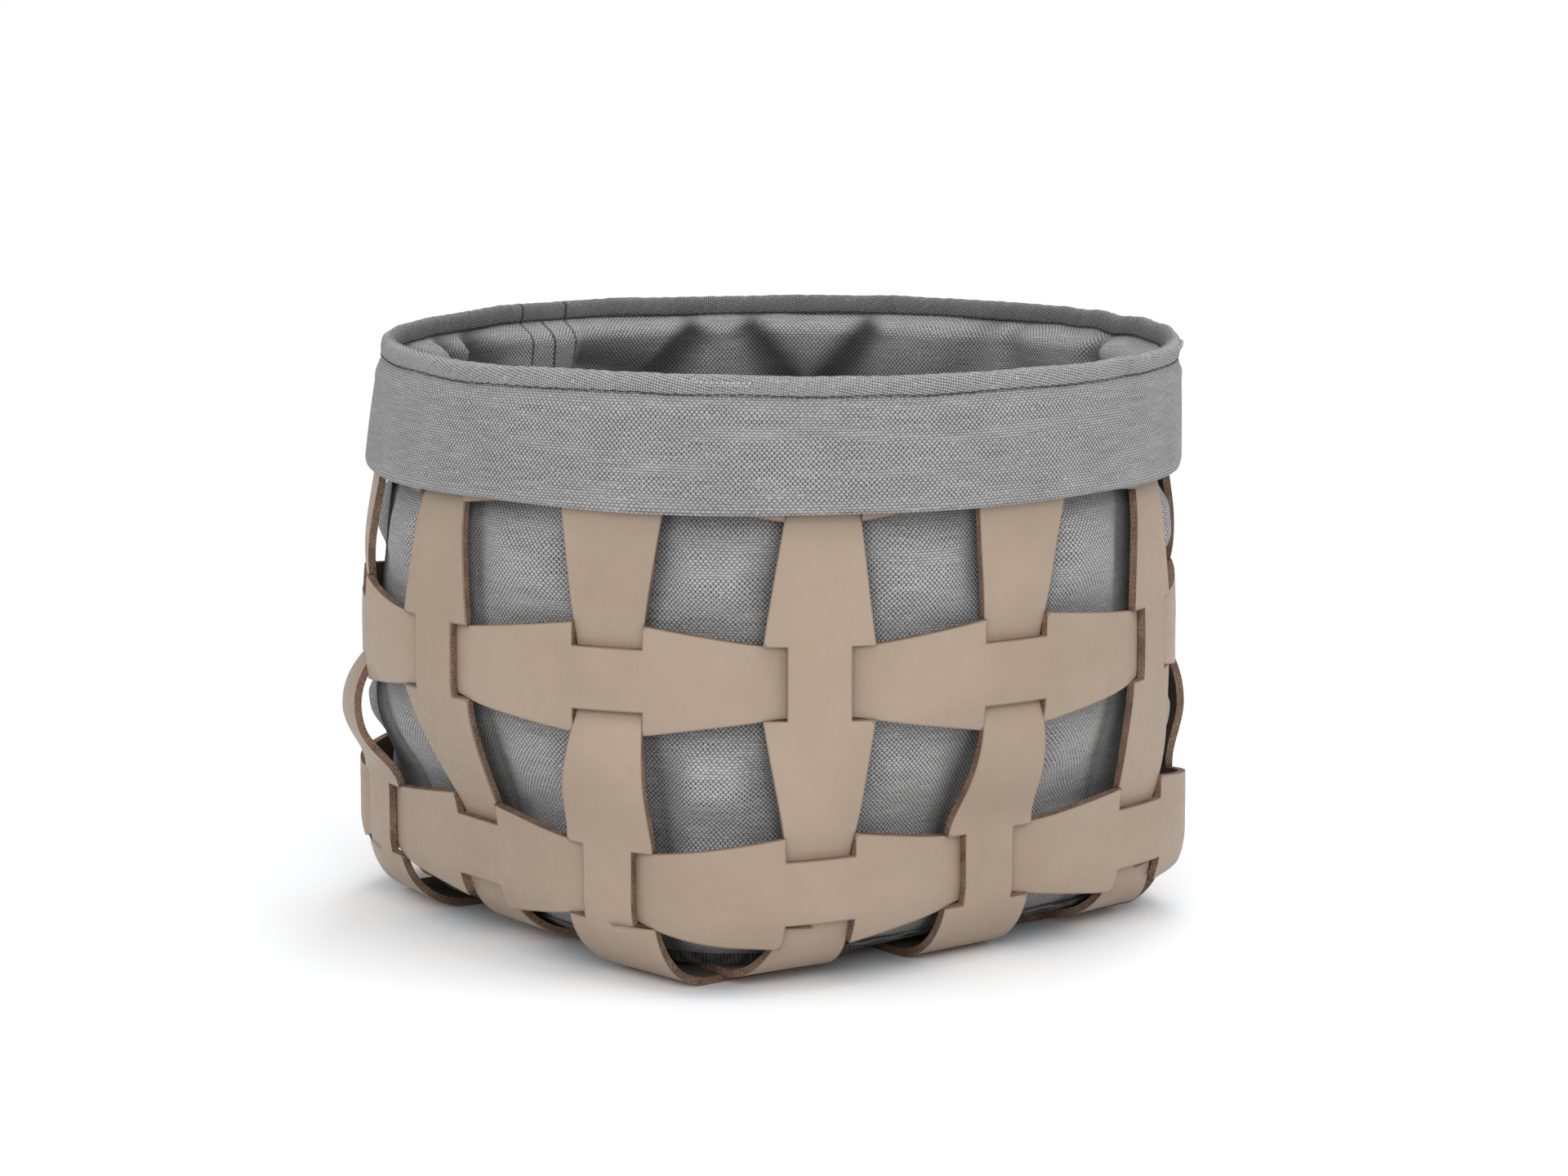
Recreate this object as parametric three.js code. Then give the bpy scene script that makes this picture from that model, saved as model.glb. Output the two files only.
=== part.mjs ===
import * as THREE from "three";

// Lengths in millimetres, +Z up. The basket stands on z = 0 with its axis on x = y = 0.
// Every leather piece lies on one shared middle surface and passes just outside or just inside it.

// Leather straps and ring bands
const leather = 3;
const weaveGap = 0.4;
const halfWide = 21;
const halfNeck = 12;
const halfTongue = 13.2;
const halfNotch = 14;
const halfUnder = 12.5;
const halfPlain = 22.5;
const tongueEnd = 22;
const tailWidened = 55;

// Shell
const wallRadius = 157;
const belly = 3.2;
const oval = 2.6;
const ovalAngle = -37.3;
const baseHalf = 140.2;
const baseCorner = 3.85;
const sideBend = 30;
const middleBend = 32;
const zLow = 40;
const zMiddle = 119;
const zTop = 201;
const strapTop = 222;
const strapAngle = 30.5;
const taperEase = 8;
const basePitch = 80;
const lapLength = 16;
const driftEnds = 2.5;
const driftMiddle = 2.9;
const driftHeight = 45;

// Cloth liner
const cloth = 1.2;
const cuffCloth = 1.7;
const linerGap = 0.65;
const linerFootHalf = 129;
const linerFootCorner = 3.8;
const linerFootBend = 25;
const seamReach = 16.8;
const seamCorner = 1.5;
const cuffBottom = 183;
const cuffFlare = 3.8;
const rimTop = 234;
const hemHeight = 8;
const hemRadius = 161.2;
const fit = 0.3;
const sides = 60;

const over = (leather + weaveGap) / 2;
const deg = Math.PI / 180;
const clamp = (v, a, b) => Math.min(Math.max(v, a), b);
const smooth = (v) => {
  const t = clamp(v, 0, 1);
  return t * t * (3 - 2 * t);
};

// A rounded square of the given half size, as a radius at angle a
const squircle = (a, half, power) => {
  const c = Math.abs(Math.cos(a));
  const s = Math.abs(Math.sin(a));
  return half / Math.pow(Math.pow(c, power) + Math.pow(s, power), 1 / power);
};

// How near an angle is to the middle of a side: 1 there, 0 from the side straps to the corners
const middleness = (a) => {
  const turn = a / (90 * deg);
  const away = Math.abs(turn - Math.round(turn)) * 90;
  return 1 - smooth((away - 9) / 14);
};

// The foot curves in with a larger radius at the middle of each side than at its ends
const baseMiddle = leather / 2 + over;
const bendAt = (a) => sideBend + (middleBend - sideBend) * middleness(a);

// How much wider than at the top the soft wall has settled, a little oval and most at the middle band
const bellyAt = (a, z) => {
  const wide = belly + oval * Math.cos(2 * (a - ovalAngle * deg));
  return wide * (1 - smooth((z - zMiddle) / (zTop - zMiddle)));
};

// Radius of the shell's middle surface: a rounded square at the foot, nearly round from the middle band up
const shellRadius = (a, z) => {
  const foot = squircle(a, baseHalf, baseCorner);
  const rise = (z - zLow - taperEase) / (zMiddle - zLow - 2 * taperEase);
  return foot + (wallRadius + bellyAt(a, z) - foot) * smooth(rise);
};

// Where the foot curves in, every point moves square to its own side, and slantwise only at the corners
const tuckAt = (a, z) => {
  const bend = bendAt(a);
  const below = clamp(baseMiddle + bend - z, 0, bend);
  const face = Math.round(a / (90 * deg)) * 90 * deg;
  const away = a - face;
  const way = face + Math.sign(away) * 45 * deg * smooth((Math.abs(away) / deg - 38) / 7);
  return { depth: bend - Math.sqrt(bend * bend - below * below), way };
};

// The strap along Y at x = 0 has slid a little towards -X, most of all at the middle band
const slid = (a, z) => {
  const high = (z - zMiddle) / driftHeight;
  const drift = (driftEnds + driftMiddle * Math.exp(-high * high)) / wallRadius;
  const near = (face) => {
    const turn = (a / deg - face) / 360;
    return 1 - smooth((Math.abs(turn - Math.round(turn)) * 360 - 8) / 14);
  };
  return a + drift * (near(90) - near(-90));
};

const shellPoint = (a, z) => {
  const turned = slid(a, z);
  const r = shellRadius(turned, z);
  const { depth, way } = tuckAt(turned, z);
  const x = r * Math.cos(turned) - depth * Math.cos(way);
  return new THREE.Vector3(x, r * Math.sin(turned) - depth * Math.sin(way), z);
};

const shellNormal = (a, z) => {
  const e = 1e-3;
  const along = shellPoint(a + e, z).sub(shellPoint(a - e, z));
  const up = shellPoint(a, z + 0.1).sub(shellPoint(a, z - 0.1));
  return along.cross(up).normalize();
};

// The angle reached by going a distance along the shell at one height
const walk = (a, z, distance) => {
  const steps = 6;
  const e = 1e-3;
  let angle = a;
  for (let i = 0; i < steps; i++) {
    const speed = (q) => shellPoint(q + e, z).distanceTo(shellPoint(q - e, z)) / (2 * e);
    const half = angle + distance / steps / 2 / speed(angle);
    angle += distance / steps / speed(half);
  }
  return angle;
};

// Weave of one strap: its crossings in order, with the height between them as it bows outward.
// Over a wall crossing a strap is notched, and under it slim. The plain crossings of the base are neither.
class Weave {
  constructor(crossings) {
    this.crossings = crossings;
  }

  // The crossings on each side of a place along the strap
  around(u) {
    const list = this.crossings;
    let i = 0;
    while (i < list.length - 2 && u > list[i + 1].at) i++;
    return [list[i], list[i + 1]];
  }

  // How far on each side of a crossing the strap keeps its height
  hold(c) {
    if (c.plain) return halfPlain;
    return c.over ? halfNotch + 1.2 : halfUnder;
  }

  offset(u) {
    const [a, b] = this.around(u);
    const lift = (c) => (c.over ? over : -over);
    const from = a.at + this.hold(a);
    const to = b.at - this.hold(b);
    if (u <= from) return lift(a);
    if (u >= to) return lift(b);
    const x = (u - from) / (to - from);
    if (a.bow === undefined) return lift(a) + (lift(b) - lift(a)) * smooth(x);
    if (x < 0.5) return lift(a) + (a.bow - lift(a)) * smooth(2 * x);
    return a.bow + (lift(b) - a.bow) * smooth(2 * x - 1);
  }

  half(u) {
    const side = (c, other, d) => {
      if (c.plain) return halfWide;
      if (c.over) return d < halfNotch ? halfNeck : halfWide;
      const pitch = other ? Math.abs(other.at - c.at) : zTop - zMiddle;
      const widened = other && other.plain ? tailWidened : pitch - halfNotch;
      const slope = (halfWide - halfTongue) / (widened - tongueEnd);
      return Math.min(halfWide, halfTongue + Math.max(0, d - tongueEnd) * slope);
    };
    const [a, b] = this.around(u);
    if (u < a.at) return side(a, undefined, a.at - u);
    if (u > b.at) return side(b, undefined, u - b.at);
    return Math.min(side(a, b, u - a.at), side(b, a, b.at - u));
  }

  // Places along the strap where its outline or its height changes
  stations(from, to, step, extra = []) {
    const at = [from, to, ...extra];
    const sharp = [];
    const reach = (c) => (c.plain || c.over ? this.hold(c) : halfUnder + 1.5);
    this.crossings.forEach((c, i) => {
      const hold = reach(c);
      if (!c.over && !c.plain) at.push(c.at - tongueEnd, c.at + tongueEnd);
      if (c.over && !c.plain) {
        for (const side of [-1, 1]) {
          sharp.push(c.at + side * (halfNotch - 0.05));
          sharp.push(c.at + side * (halfNotch + 0.05));
        }
      } else {
        at.push(c.at - hold, c.at + hold);
      }
      if (!c.plain) at.push(c.at - hold / 3, c.at + hold / 3);
      const next = this.crossings[i + 1];
      if (!next) return;
      const a = c.at + hold;
      const b = next.at - reach(next);
      const n = c.bow === undefined && c.over === next.over ? 2 : Math.max(2, Math.round((b - a) / step));
      for (let k = 0; k <= n; k++) at.push(a + ((b - a) * k) / n);
    });
    const inside = (u) => u >= from - 1e-6 && u <= to + 1e-6;
    const kept = sharp.filter(inside);
    for (const u of at.filter(inside)) {
      if (kept.every((v) => Math.abs(v - u) > 0.9)) kept.push(u);
    }
    for (const u of [from, to]) {
      if (!kept.includes(u)) {
        kept.splice(0, kept.length, ...kept.filter((v) => Math.abs(v - u) > 0.9), u);
      }
    }
    return kept.sort((a, b) => a - b);
  }
}

const normalOf = (surface, u, t) => {
  const e = 0.02;
  const along = surface(u + e, t).sub(surface(u - e, t));
  const across = surface(u, t + e).sub(surface(u, t - e));
  return along.cross(across).normalize();
};

const toMesh = (name, points, faces) => {
  const geometry = new THREE.BufferGeometry();
  const tidy = (v) => Math.round(v * 1e4) / 1e4 + 0;
  const flat = points.flatMap((p) => [tidy(p.x), tidy(p.y), tidy(p.z)]);
  geometry.setAttribute("position", new THREE.Float32BufferAttribute(flat, 3));
  geometry.setIndex(faces);
  geometry.computeVertexNormals();
  const mesh = new THREE.Mesh(geometry, new THREE.MeshStandardMaterial());
  mesh.name = name;
  return mesh;
};

// A strip of sheet with thickness, from rows of points across it
const stripMesh = (name, surface, rows) => {
  const points = [];
  const faces = [];
  const quad = (a, b, c, d) => faces.push(a, b, c, a, c, d);
  for (const row of rows) {
    for (const side of [row.outer, row.inner]) {
      for (const j of [-1, 0, 1]) {
        const t = j * row.half;
        const p = surface(row.u, t);
        points.push(p.addScaledVector(normalOf(surface, row.u, t), side));
      }
    }
  }
  const last = rows.length - 1;
  for (let i = 0; i < last; i++) {
    const a = 6 * i;
    const b = a + 6;
    for (const j of [0, 1]) {
      quad(a + j, b + j, b + j + 1, a + j + 1);
      quad(a + 3 + j, a + 4 + j, b + 4 + j, b + 3 + j);
    }
    quad(a, a + 3, b + 3, b);
    quad(a + 2, b + 2, b + 5, a + 5);
  }
  const z = 6 * last;
  for (const j of [0, 1]) {
    quad(j, j + 1, j + 4, j + 3);
    quad(z + j, z + 3 + j, z + 4 + j, z + j + 1);
  }
  return toMesh(name, points, faces);
};

// Straps. The strap goes down one wall, round the foot, across the base and up the opposite wall.
const tailTop = zLow - halfNotch - 0.1;

const strapFrame = (faceAngle, column) => {
  const out = new THREE.Vector3(Math.cos(faceAngle), Math.sin(faceAngle), 0);
  const side = new THREE.Vector3(-Math.sin(faceAngle), Math.cos(faceAngle), 0);
  const angle = faceAngle + column * strapAngle * deg;
  const foot = shellPoint(angle, zLow);
  const normal = shellNormal(angle, zLow);
  const bend = bendAt(angle);
  const bendTop = baseMiddle + bend;
  const start = bendTop > tailTop ? Math.asin((bendTop - tailTop) / bend) : 0;
  return {
    out,
    bend,
    bendTop,
    start,
    drop: Math.max(0, tailTop - bendTop),
    arc: bend * (Math.PI / 2 - start),
    side,
    angle,
    reach: foot.dot(out),
    shift: foot.dot(side),
    twist: Math.atan2(normal.dot(side), normal.dot(out)),
    foot,
  };
};

// The middle surface of half a strap: u runs down from the strap's top edge, t runs sideways
const halfStrap = (frame, column, u, t, lift) => {
  const z = strapTop - u;
  const up = new THREE.Vector3(0, 0, 1);
  if (z >= tailTop) {
    const a = walk(frame.angle, z, t);
    return shellPoint(a, z).addScaledVector(shellNormal(a, z), lift);
  }
  const { drop, arc, bend, bendTop, start } = frame;
  const along = u - (strapTop - tailTop);
  const w = clamp(along / (drop + arc), 0, 1);
  const beta = start + clamp((along - drop) / bend, 0, Math.PI / 2 - start);
  const flat = Math.max(0, along - drop - arc);
  const twist = frame.twist * (1 - smooth(w));
  const keep = 1 - smooth(w * 1.15);
  const shift = frame.shift + (column * basePitch - frame.shift) * smooth(w);
  const far = frame.reach - bend * (1 - Math.cos(beta)) - flat;
  const height = along < drop ? z : bendTop - bend * Math.sin(beta);
  const center = frame.out.clone().multiplyScalar(far);
  center.addScaledVector(frame.side, shift).addScaledVector(up, height);
  const outward = frame.out.clone().multiplyScalar(Math.cos(beta)).addScaledVector(up, -Math.sin(beta));
  const across = frame.side.clone().multiplyScalar(Math.cos(twist)).addScaledVector(outward, -Math.sin(twist));
  const facing = outward.clone().multiplyScalar(Math.cos(twist)).addScaledVector(frame.side, Math.sin(twist));
  const a = walk(frame.angle, zLow, t);
  const q = shellPoint(a, zLow).sub(frame.foot);
  const tangent = frame.side.clone().multiplyScalar(Math.cos(frame.twist));
  tangent.addScaledVector(frame.out, -Math.sin(frame.twist));
  const direct = frame.out.clone().multiplyScalar(Math.cos(frame.twist));
  direct.addScaledVector(frame.side, Math.sin(frame.twist));
  const n = shellNormal(a, zLow);
  const lean = Math.atan2(n.dot(tangent), n.dot(direct)) * keep;
  const qt = q.dot(tangent);
  const wide = qt + (t - qt) * (1 - keep);
  center.addScaledVector(across, wide).addScaledVector(facing, q.dot(direct) * keep);
  center.addScaledVector(facing, lift * Math.cos(lean)).addScaledVector(across, lift * Math.sin(lean));
  return center;
};

const strap = (name, faceAngle, column, topOver, bows) => {
  const frame = strapFrame(faceAngle, column);
  const back = strapFrame(faceAngle + Math.PI, -column);
  const bendFrom = strapTop - tailTop + frame.drop;
  const half = bendFrom + frame.arc + frame.reach - frame.bend;
  const baseAt = half - basePitch;
  const wallAt = [strapTop - zTop, strapTop - zMiddle, strapTop - zLow];
  const near = [
    { at: wallAt[0], over: topOver, bow: bows[0][0] },
    { at: wallAt[1], over: !topOver, bow: bows[0][1] },
    { at: wallAt[2], over: topOver, bow: undefined },
    { at: baseAt, over: topOver, bow: undefined, plain: true },
  ];
  const far = near.map((c, i) => ({
    at: 2 * half - c.at,
    over: c.over,
    bow: i > 0 && i < 3 ? bows[1][i - 1] : undefined,
    plain: c.plain,
  }));
  const weave = new Weave([...near, { at: half, over: !topOver, bow: undefined, plain: true }, ...far.reverse()]);
  const surface = (u, t) => {
    const lift = weave.offset(u);
    if (u <= half) return halfStrap(frame, column, u, t, lift);
    return halfStrap(back, -column, 2 * half - u, -t, lift);
  };
  const bends = [];
  for (let k = 0; k <= 6; k++) {
    const place = bendFrom + (frame.arc * k) / 6;
    bends.push(place, 2 * half - place);
  }
  const rows = weave.stations(0, 2 * half, 10, bends).map((u) => ({
    u,
    half: weave.half(u),
    outer: leather / 2,
    inner: -leather / 2,
  }));
  return stripMesh(name, surface, rows);
};

// Ring bands. Each is one strip whose ends are pared to half thickness and lapped behind a strap.
const band = (name, z, overEven, bows) => {
  const turn = 7200;
  const length = [0];
  const angles = [0];
  for (let i = 1; i <= turn; i++) {
    const a = (i / turn) * 2 * Math.PI;
    angles.push(a);
    length.push(length[i - 1] + shellPoint(a, z).distanceTo(shellPoint(angles[i - 1], z)));
  }
  const total = length[turn];
  const angleAt = (u) => {
    const laps = Math.floor(u / total);
    const rest = u - laps * total;
    const k = clamp((rest / total) * turn, 0, turn - 1e-6);
    let i = Math.floor(k);
    while (i > 0 && length[i] > rest) i--;
    while (i < turn - 1 && length[i + 1] < rest) i++;
    const f = (rest - length[i]) / (length[i + 1] - length[i]);
    return laps * 2 * Math.PI + angles[i] + f * (angles[i + 1] - angles[i]);
  };
  const placeOf = (a) => {
    const laps = Math.floor(a / (2 * Math.PI));
    const rest = a - laps * 2 * Math.PI;
    const k = clamp((rest / (2 * Math.PI)) * turn, 0, turn - 1e-6);
    const i = Math.floor(k);
    return laps * total + length[i] + (k - i) * (length[i + 1] - length[i]);
  };
  const crossings = [];
  const steps = [];
  for (let face = -1; face <= 5; face++) {
    for (const column of [-1, 0, 1]) steps.push([face, column]);
  }
  steps.forEach(([face, column], i) => {
    const a = face * 90 * deg + column * strapAngle * deg;
    const isOver = (((i % 2) + 2) % 2 === 0) === overEven;
    crossings.push({ at: placeOf(a), over: isOver, bow: column === 1 ? bows[1] : bows[0] });
  });
  const weave = new Weave(crossings);
  const start = crossings.findIndex((c, i) => i > 6 && !c.over);
  const seam = crossings[start].at;
  const surface = (u, t) => {
    const a = angleAt(u);
    return shellPoint(a, z + t).addScaledVector(shellNormal(a, z + t), weave.offset(u));
  };
  const lap = lapLength / 2;
  const split = [seam + lap + 0.05, seam + total - lap - 0.05, seam + lap - 0.05, seam + total - lap + 0.05];
  const from = seam - lap + fit;
  const to = seam + total + lap - fit;
  const list = weave.stations(from, to, 10.5).filter((u) => split.every((v) => Math.abs(v - u) > 0.9));
  const rows = [...list, ...split].sort((a, b) => a - b).map((u) => ({
    u,
    half: weave.half(u),
    outer: u < seam + lap ? -weaveGap / 2 : leather / 2,
    inner: u > seam + total - lap ? weaveGap / 2 : -leather / 2,
  }));
  return stripMesh(name, surface, rows);
};

// A closed ring with a section that may change with the angle
const ringMesh = (name, section) => {
  const points = [];
  const faces = [];
  const n = section(0).length;
  for (let i = 0; i < sides; i++) {
    const a = (i / sides) * 2 * Math.PI;
    for (const [r, z] of section(a)) points.push(new THREE.Vector3(r * Math.cos(a), r * Math.sin(a), z));
  }
  for (let i = 0; i < sides; i++) {
    const b = (i + 1) % sides;
    for (let j = 0; j < n; j++) {
      const k = (j + 1) % n;
      faces.push(i * n + j, b * n + j, b * n + k, i * n + j, b * n + k, i * n + k);
    }
  }
  return toMesh(name, points, faces);
};

// A plate with a section from its middle out and back
const dishMesh = (name, section) => {
  const points = [];
  const faces = [];
  const n = section(0).length;
  for (let i = 0; i < sides; i++) {
    const a = (i / sides) * 2 * Math.PI;
    for (const [r, z] of section(a)) points.push(new THREE.Vector3(r * Math.cos(a), r * Math.sin(a), z));
  }
  const first = section(0)[0];
  const final = section(0)[n - 1];
  points.push(new THREE.Vector3(0, 0, first[1]), new THREE.Vector3(0, 0, final[1]));
  const bottom = sides * n;
  for (let i = 0; i < sides; i++) {
    const b = (i + 1) % sides;
    for (let j = 0; j < n - 1; j++) {
      faces.push(i * n + j, b * n + j, b * n + j + 1, i * n + j, b * n + j + 1, i * n + j + 1);
    }
    faces.push(bottom, b * n, i * n, bottom + 1, i * n + n - 1, b * n + n - 1);
  }
  return toMesh(name, points, faces);
};

// Liner: it rests on the inner straps of the base and stays inside the leather all the way up
const leatherInner = wallRadius - over - leather / 2;
const leatherOuter = wallRadius + over + leather / 2;
const linerMiddle = leatherInner - linerGap - cloth / 2;
const floorTop = 2 * leather + weaveGap;
const footCentre = floorTop + cloth / 2 + linerFootBend;
const hemInner = hemRadius - 2 * cloth - 2 * cloth - 3 * fit;
const hemBottom = rimTop - hemHeight;
const sleeve = cloth + fit;
const wallTopMiddle = hemInner + sleeve + cloth / 2;
const cuffTopMiddle = hemRadius - sleeve - cloth / 2;
const clothEnd = rimTop - cloth - fit - 0.1;
const flareStart = strapTop + 1;
const flareEnd = hemBottom - 0.5;
const lipBottom = footCentre - linerFootBend * Math.cos(29 * deg) - cloth;
const lipMiddle = lipBottom + cloth + fit;

const linerRadius = (a, z) => {
  const foot = squircle(a, linerFootHalf, linerFootCorner);
  return foot + (linerMiddle - foot) * smooth((z - zLow) / (zMiddle - zLow));
};

// Half angle of the foot's curve where it passes a height
const footAngle = (radius, z) => Math.acos(clamp((footCentre - z) / radius, -1, 1));

// The foot seam's edges stand out a little, and more so at the corners
const lipRadius = (a) => linerRadius(a, 0) - linerFootBend + seamReach + seamCorner * (1 - middleness(a));

const footArc = (a, radius, from, to, n) => {
  const r = linerRadius(a, 0) - linerFootBend;
  const list = [];
  for (let i = 0; i <= n; i++) {
    const g = from + ((to - from) * i) / n;
    list.push([r + radius * Math.sin(g), footCentre - radius * Math.cos(g)]);
  }
  return list;
};

const linerWallSection = (a) => {
  const t = cloth / 2;
  const lip = lipRadius(a);
  const outerRadius = linerFootBend + t;
  const innerRadius = linerFootBend - t;
  const quarter = Math.PI / 2;
  const top = lipMiddle + cloth;
  const heights = [zLow + 14, zLow + 32, zLow + 50, zMiddle];
  const flare = t * 0.4;
  return [
    [lip, lipMiddle],
    [lip, top],
    ...footArc(a, outerRadius, footAngle(outerRadius, top), quarter, 3),
    ...heights.map((z) => [linerRadius(a, z) + t, z]),
    [linerMiddle + t, flareStart],
    [wallTopMiddle + t, flareEnd - flare],
    [wallTopMiddle + t, clothEnd],
    [wallTopMiddle - t, clothEnd],
    [wallTopMiddle - t, flareEnd + flare],
    [linerMiddle - t, flareStart + flare],
    ...heights.reverse().map((z) => [linerRadius(a, z) - t, z]),
    ...footArc(a, innerRadius, quarter, footAngle(innerRadius, lipMiddle), 3),
  ];
};

const linerBaseSection = (a) => {
  const t = cloth / 2;
  const lip = lipRadius(a) - 5 * fit;
  const outerRadius = linerFootBend + t;
  const innerRadius = linerFootBend - t;
  const top = lipBottom + cloth;
  return [
    ...footArc(a, outerRadius, 0, footAngle(outerRadius, lipBottom), 2),
    [lip, lipBottom],
    [lip, top],
    ...footArc(a, innerRadius, footAngle(innerRadius, top), 0, 2),
  ];
};

const cuffSection = () => {
  const inner = leatherOuter + 1.5 * fit;
  const outer = inner + cuffCloth;
  const t = cloth / 2;
  return [
    [inner + cuffFlare + 0.5, cuffBottom],
    [outer + cuffFlare - 0.5, cuffBottom],
    [outer + cuffFlare, cuffBottom + 0.9],
    [outer + cuffFlare / 2, (cuffBottom + rimTop) / 2],
    [outer, flareStart + 0.4],
    [cuffTopMiddle + t, flareEnd + 0.3],
    [cuffTopMiddle + t, clothEnd],
    [cuffTopMiddle - t, clothEnd],
    [cuffTopMiddle - t, flareEnd - 0.3],
    [inner, flareStart - 0.1],
    [inner + cuffFlare, cuffBottom + 0.9],
  ];
};

const hemSection = () => {
  const outer = hemRadius;
  const inner = hemInner;
  const roof = rimTop - cloth;
  return [
    [outer - cloth, hemBottom],
    [outer, hemBottom],
    [outer, rimTop - 2.2],
    [outer - 0.8, rimTop - 0.6],
    [outer - 2.2, rimTop],
    [inner + 2.2, rimTop],
    [inner + 0.8, rimTop - 0.6],
    [inner, rimTop - 2.2],
    [inner, hemBottom],
    [inner + cloth, hemBottom],
    [inner + cloth, roof],
    [outer - cloth, roof],
  ];
};

const basket = new THREE.Group();
basket.name = "woven_basket";

// Straps along X lie outside the low and top bands when their column is odd, and inside when it is the middle one
const alongX = Math.PI;
const alongY = -Math.PI / 2;
basket.add(
  strap("strap_x_near", alongX, 1, true, [[1, 6], [3.5, 7]]),
  strap("strap_x_middle", alongX, 0, false, [[1.8, 1.8], [1.8, 1.8]]),
  strap("strap_x_far", alongX, -1, true, [[2.5, 11], [1, 6]]),
  strap("strap_y_left", alongY, -1, false, [[1.8, 1.8], [1.8, 1.8]]),
  strap("strap_y_middle", alongY, 0, true, [[1, 5], [1, 6]]),
  strap("strap_y_right", alongY, 1, false, [[1.8, 1.8], [1.8, 1.8]]),
);

basket.add(
  band("band_low", zLow, true, [1.65, 4]),
  band("band_middle", zMiddle, false, [1.65, 1.65]),
  band("band_top", zTop, true, [1.65, 1.65]),
);

basket.add(
  ringMesh("liner_wall", linerWallSection),
  dishMesh("liner_base", linerBaseSection),
  ringMesh("cuff", cuffSection),
  ringMesh("rim_hem", hemSection),
);

export default basket;
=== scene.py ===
import math

import bmesh
import bpy
import numpy as np
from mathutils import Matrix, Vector, kdtree


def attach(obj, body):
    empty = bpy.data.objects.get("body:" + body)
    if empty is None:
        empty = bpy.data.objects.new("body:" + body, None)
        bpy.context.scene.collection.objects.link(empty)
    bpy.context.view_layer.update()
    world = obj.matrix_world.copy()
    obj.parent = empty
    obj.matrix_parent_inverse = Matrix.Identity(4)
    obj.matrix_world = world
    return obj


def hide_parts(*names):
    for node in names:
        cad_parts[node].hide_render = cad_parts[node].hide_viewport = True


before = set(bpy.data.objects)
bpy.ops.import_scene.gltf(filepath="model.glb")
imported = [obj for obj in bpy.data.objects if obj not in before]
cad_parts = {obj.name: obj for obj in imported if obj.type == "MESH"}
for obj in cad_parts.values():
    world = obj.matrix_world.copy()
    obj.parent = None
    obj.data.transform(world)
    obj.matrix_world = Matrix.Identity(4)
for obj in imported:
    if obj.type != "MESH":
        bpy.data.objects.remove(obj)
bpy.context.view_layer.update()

MM = 0.001
DEG = math.pi / 180

# Leather shell, millimetres, as the frame has it
LEATHER = 3.0
WEAVE_GAP = 0.4
OVER = (LEATHER + WEAVE_GAP) / 2
# Across a strip, halved: its lobe, its neck in a notch and its tongue beside a crossing under
HALF_WIDE = 21.0
HALF_NECK = 12.0
HALF_TONGUE = 13.6
# Along a strip, from a crossing: the end of its notch, of its hold under another and of its hold
# in the base, and where its tongue starts to widen and its tail is full
HALF_NOTCH = 14.0
HALF_UNDER = 12.5
HALF_PLAIN = 22.5
TONGUE_END = 16.0
TAIL_WIDENED = 55.0
# The wall at its top, how much wider it is from the middle down, and by how much and where an oval
WALL_RADIUS = 157.0
BELLY, OVAL, OVAL_ANGLE = 3.2, 2.6, -37.3
# The base, a rounded square: half its side, the power that shapes it, and the bends up to the wall
BASE_HALF = 140.2
BASE_CORNER = 3.85
SIDE_BEND = 30.0
MIDDLE_BEND = 32.0
Z_LOW, Z_MIDDLE, Z_TOP = 40.0, 119.0, 201.0
STRAP_TOP = 222.0
STRAP_ANGLE = 30.5
TAPER_EASE = 8.0
BASE_PITCH = 80.0
LAP_LENGTH = 16.0
BASE_MIDDLE = LEATHER / 2 + OVER
TAIL_TOP = Z_LOW - HALF_NOTCH - 0.1

# Cloth liner
CLOTH, CUFF_CLOTH, HEM_CLOTH = 1.2, 1.02, 1.1
LINER_MIDDLE = 152.55
FOOT_HALF = 129.0
FOOT_CORNER = 3.8
FOOT_BEND = 25.0
FOOT_CENTRE = 32.0
SEAM_REACH = 16.8
SEAM_CORNER = 1.5
LIP_BASE = 9.53
CUFF_SHOULDER, CUFF_FOLD_FROM, CUFF_BOTTOM = 220.8, 186.0, 183.0
RIM_TOP = 234.0
STITCH_Z = 226.8
HEM_MIDDLE = 158.3
SEAM_ANGLE = 94.0
SEAM_SIDE = 12.0

# The soft top leans over by this much at the rim, in this direction, from this height up
LEAN = 5.2
LEAN_WAY = (0.7954, -0.6061)
LEAN_FROM = 119.0

# Small buckles of the hem: angle in degrees, rise in mm, half width in degrees
BUCKLES = [
    (2, 0.5, 2.2), (-6, 0.6, 2.6), (-11.5, -0.7, 2.4), (-19, 0.35, 3),
    (-31, 0.55, 3), (-37, -0.5, 2.4), (-43, 0.5, 2.6), (103, 0.4, 3),
    (121, 0.4, 3.5), (148, -0.35, 3), (214, 0.3, 2.5), (252, -0.3, 3),
    (288, 0.35, 2.5),
]


def smooth(v):
    t = np.clip(v, 0.0, 1.0)
    return t * t * (3 - 2 * t)


def hill(x):
    """1 at nought, falling away smoothly to both sides."""
    return np.exp(-(x**2))


def turn_from(a, degrees):
    """How far an angle lies from one that is given in degrees, between -180 and 180."""
    return (a / DEG - degrees + 180) % 360 - 180


def ring_points(a, r, z):
    """Points from their angles, radii and heights."""
    return np.stack(np.broadcast_arrays(r * np.cos(a), r * np.sin(a), z), -1)


def squircle(a, half, power):
    c, s = np.abs(np.cos(a)), np.abs(np.sin(a))
    return half / (c**power + s**power) ** (1 / power)


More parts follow.
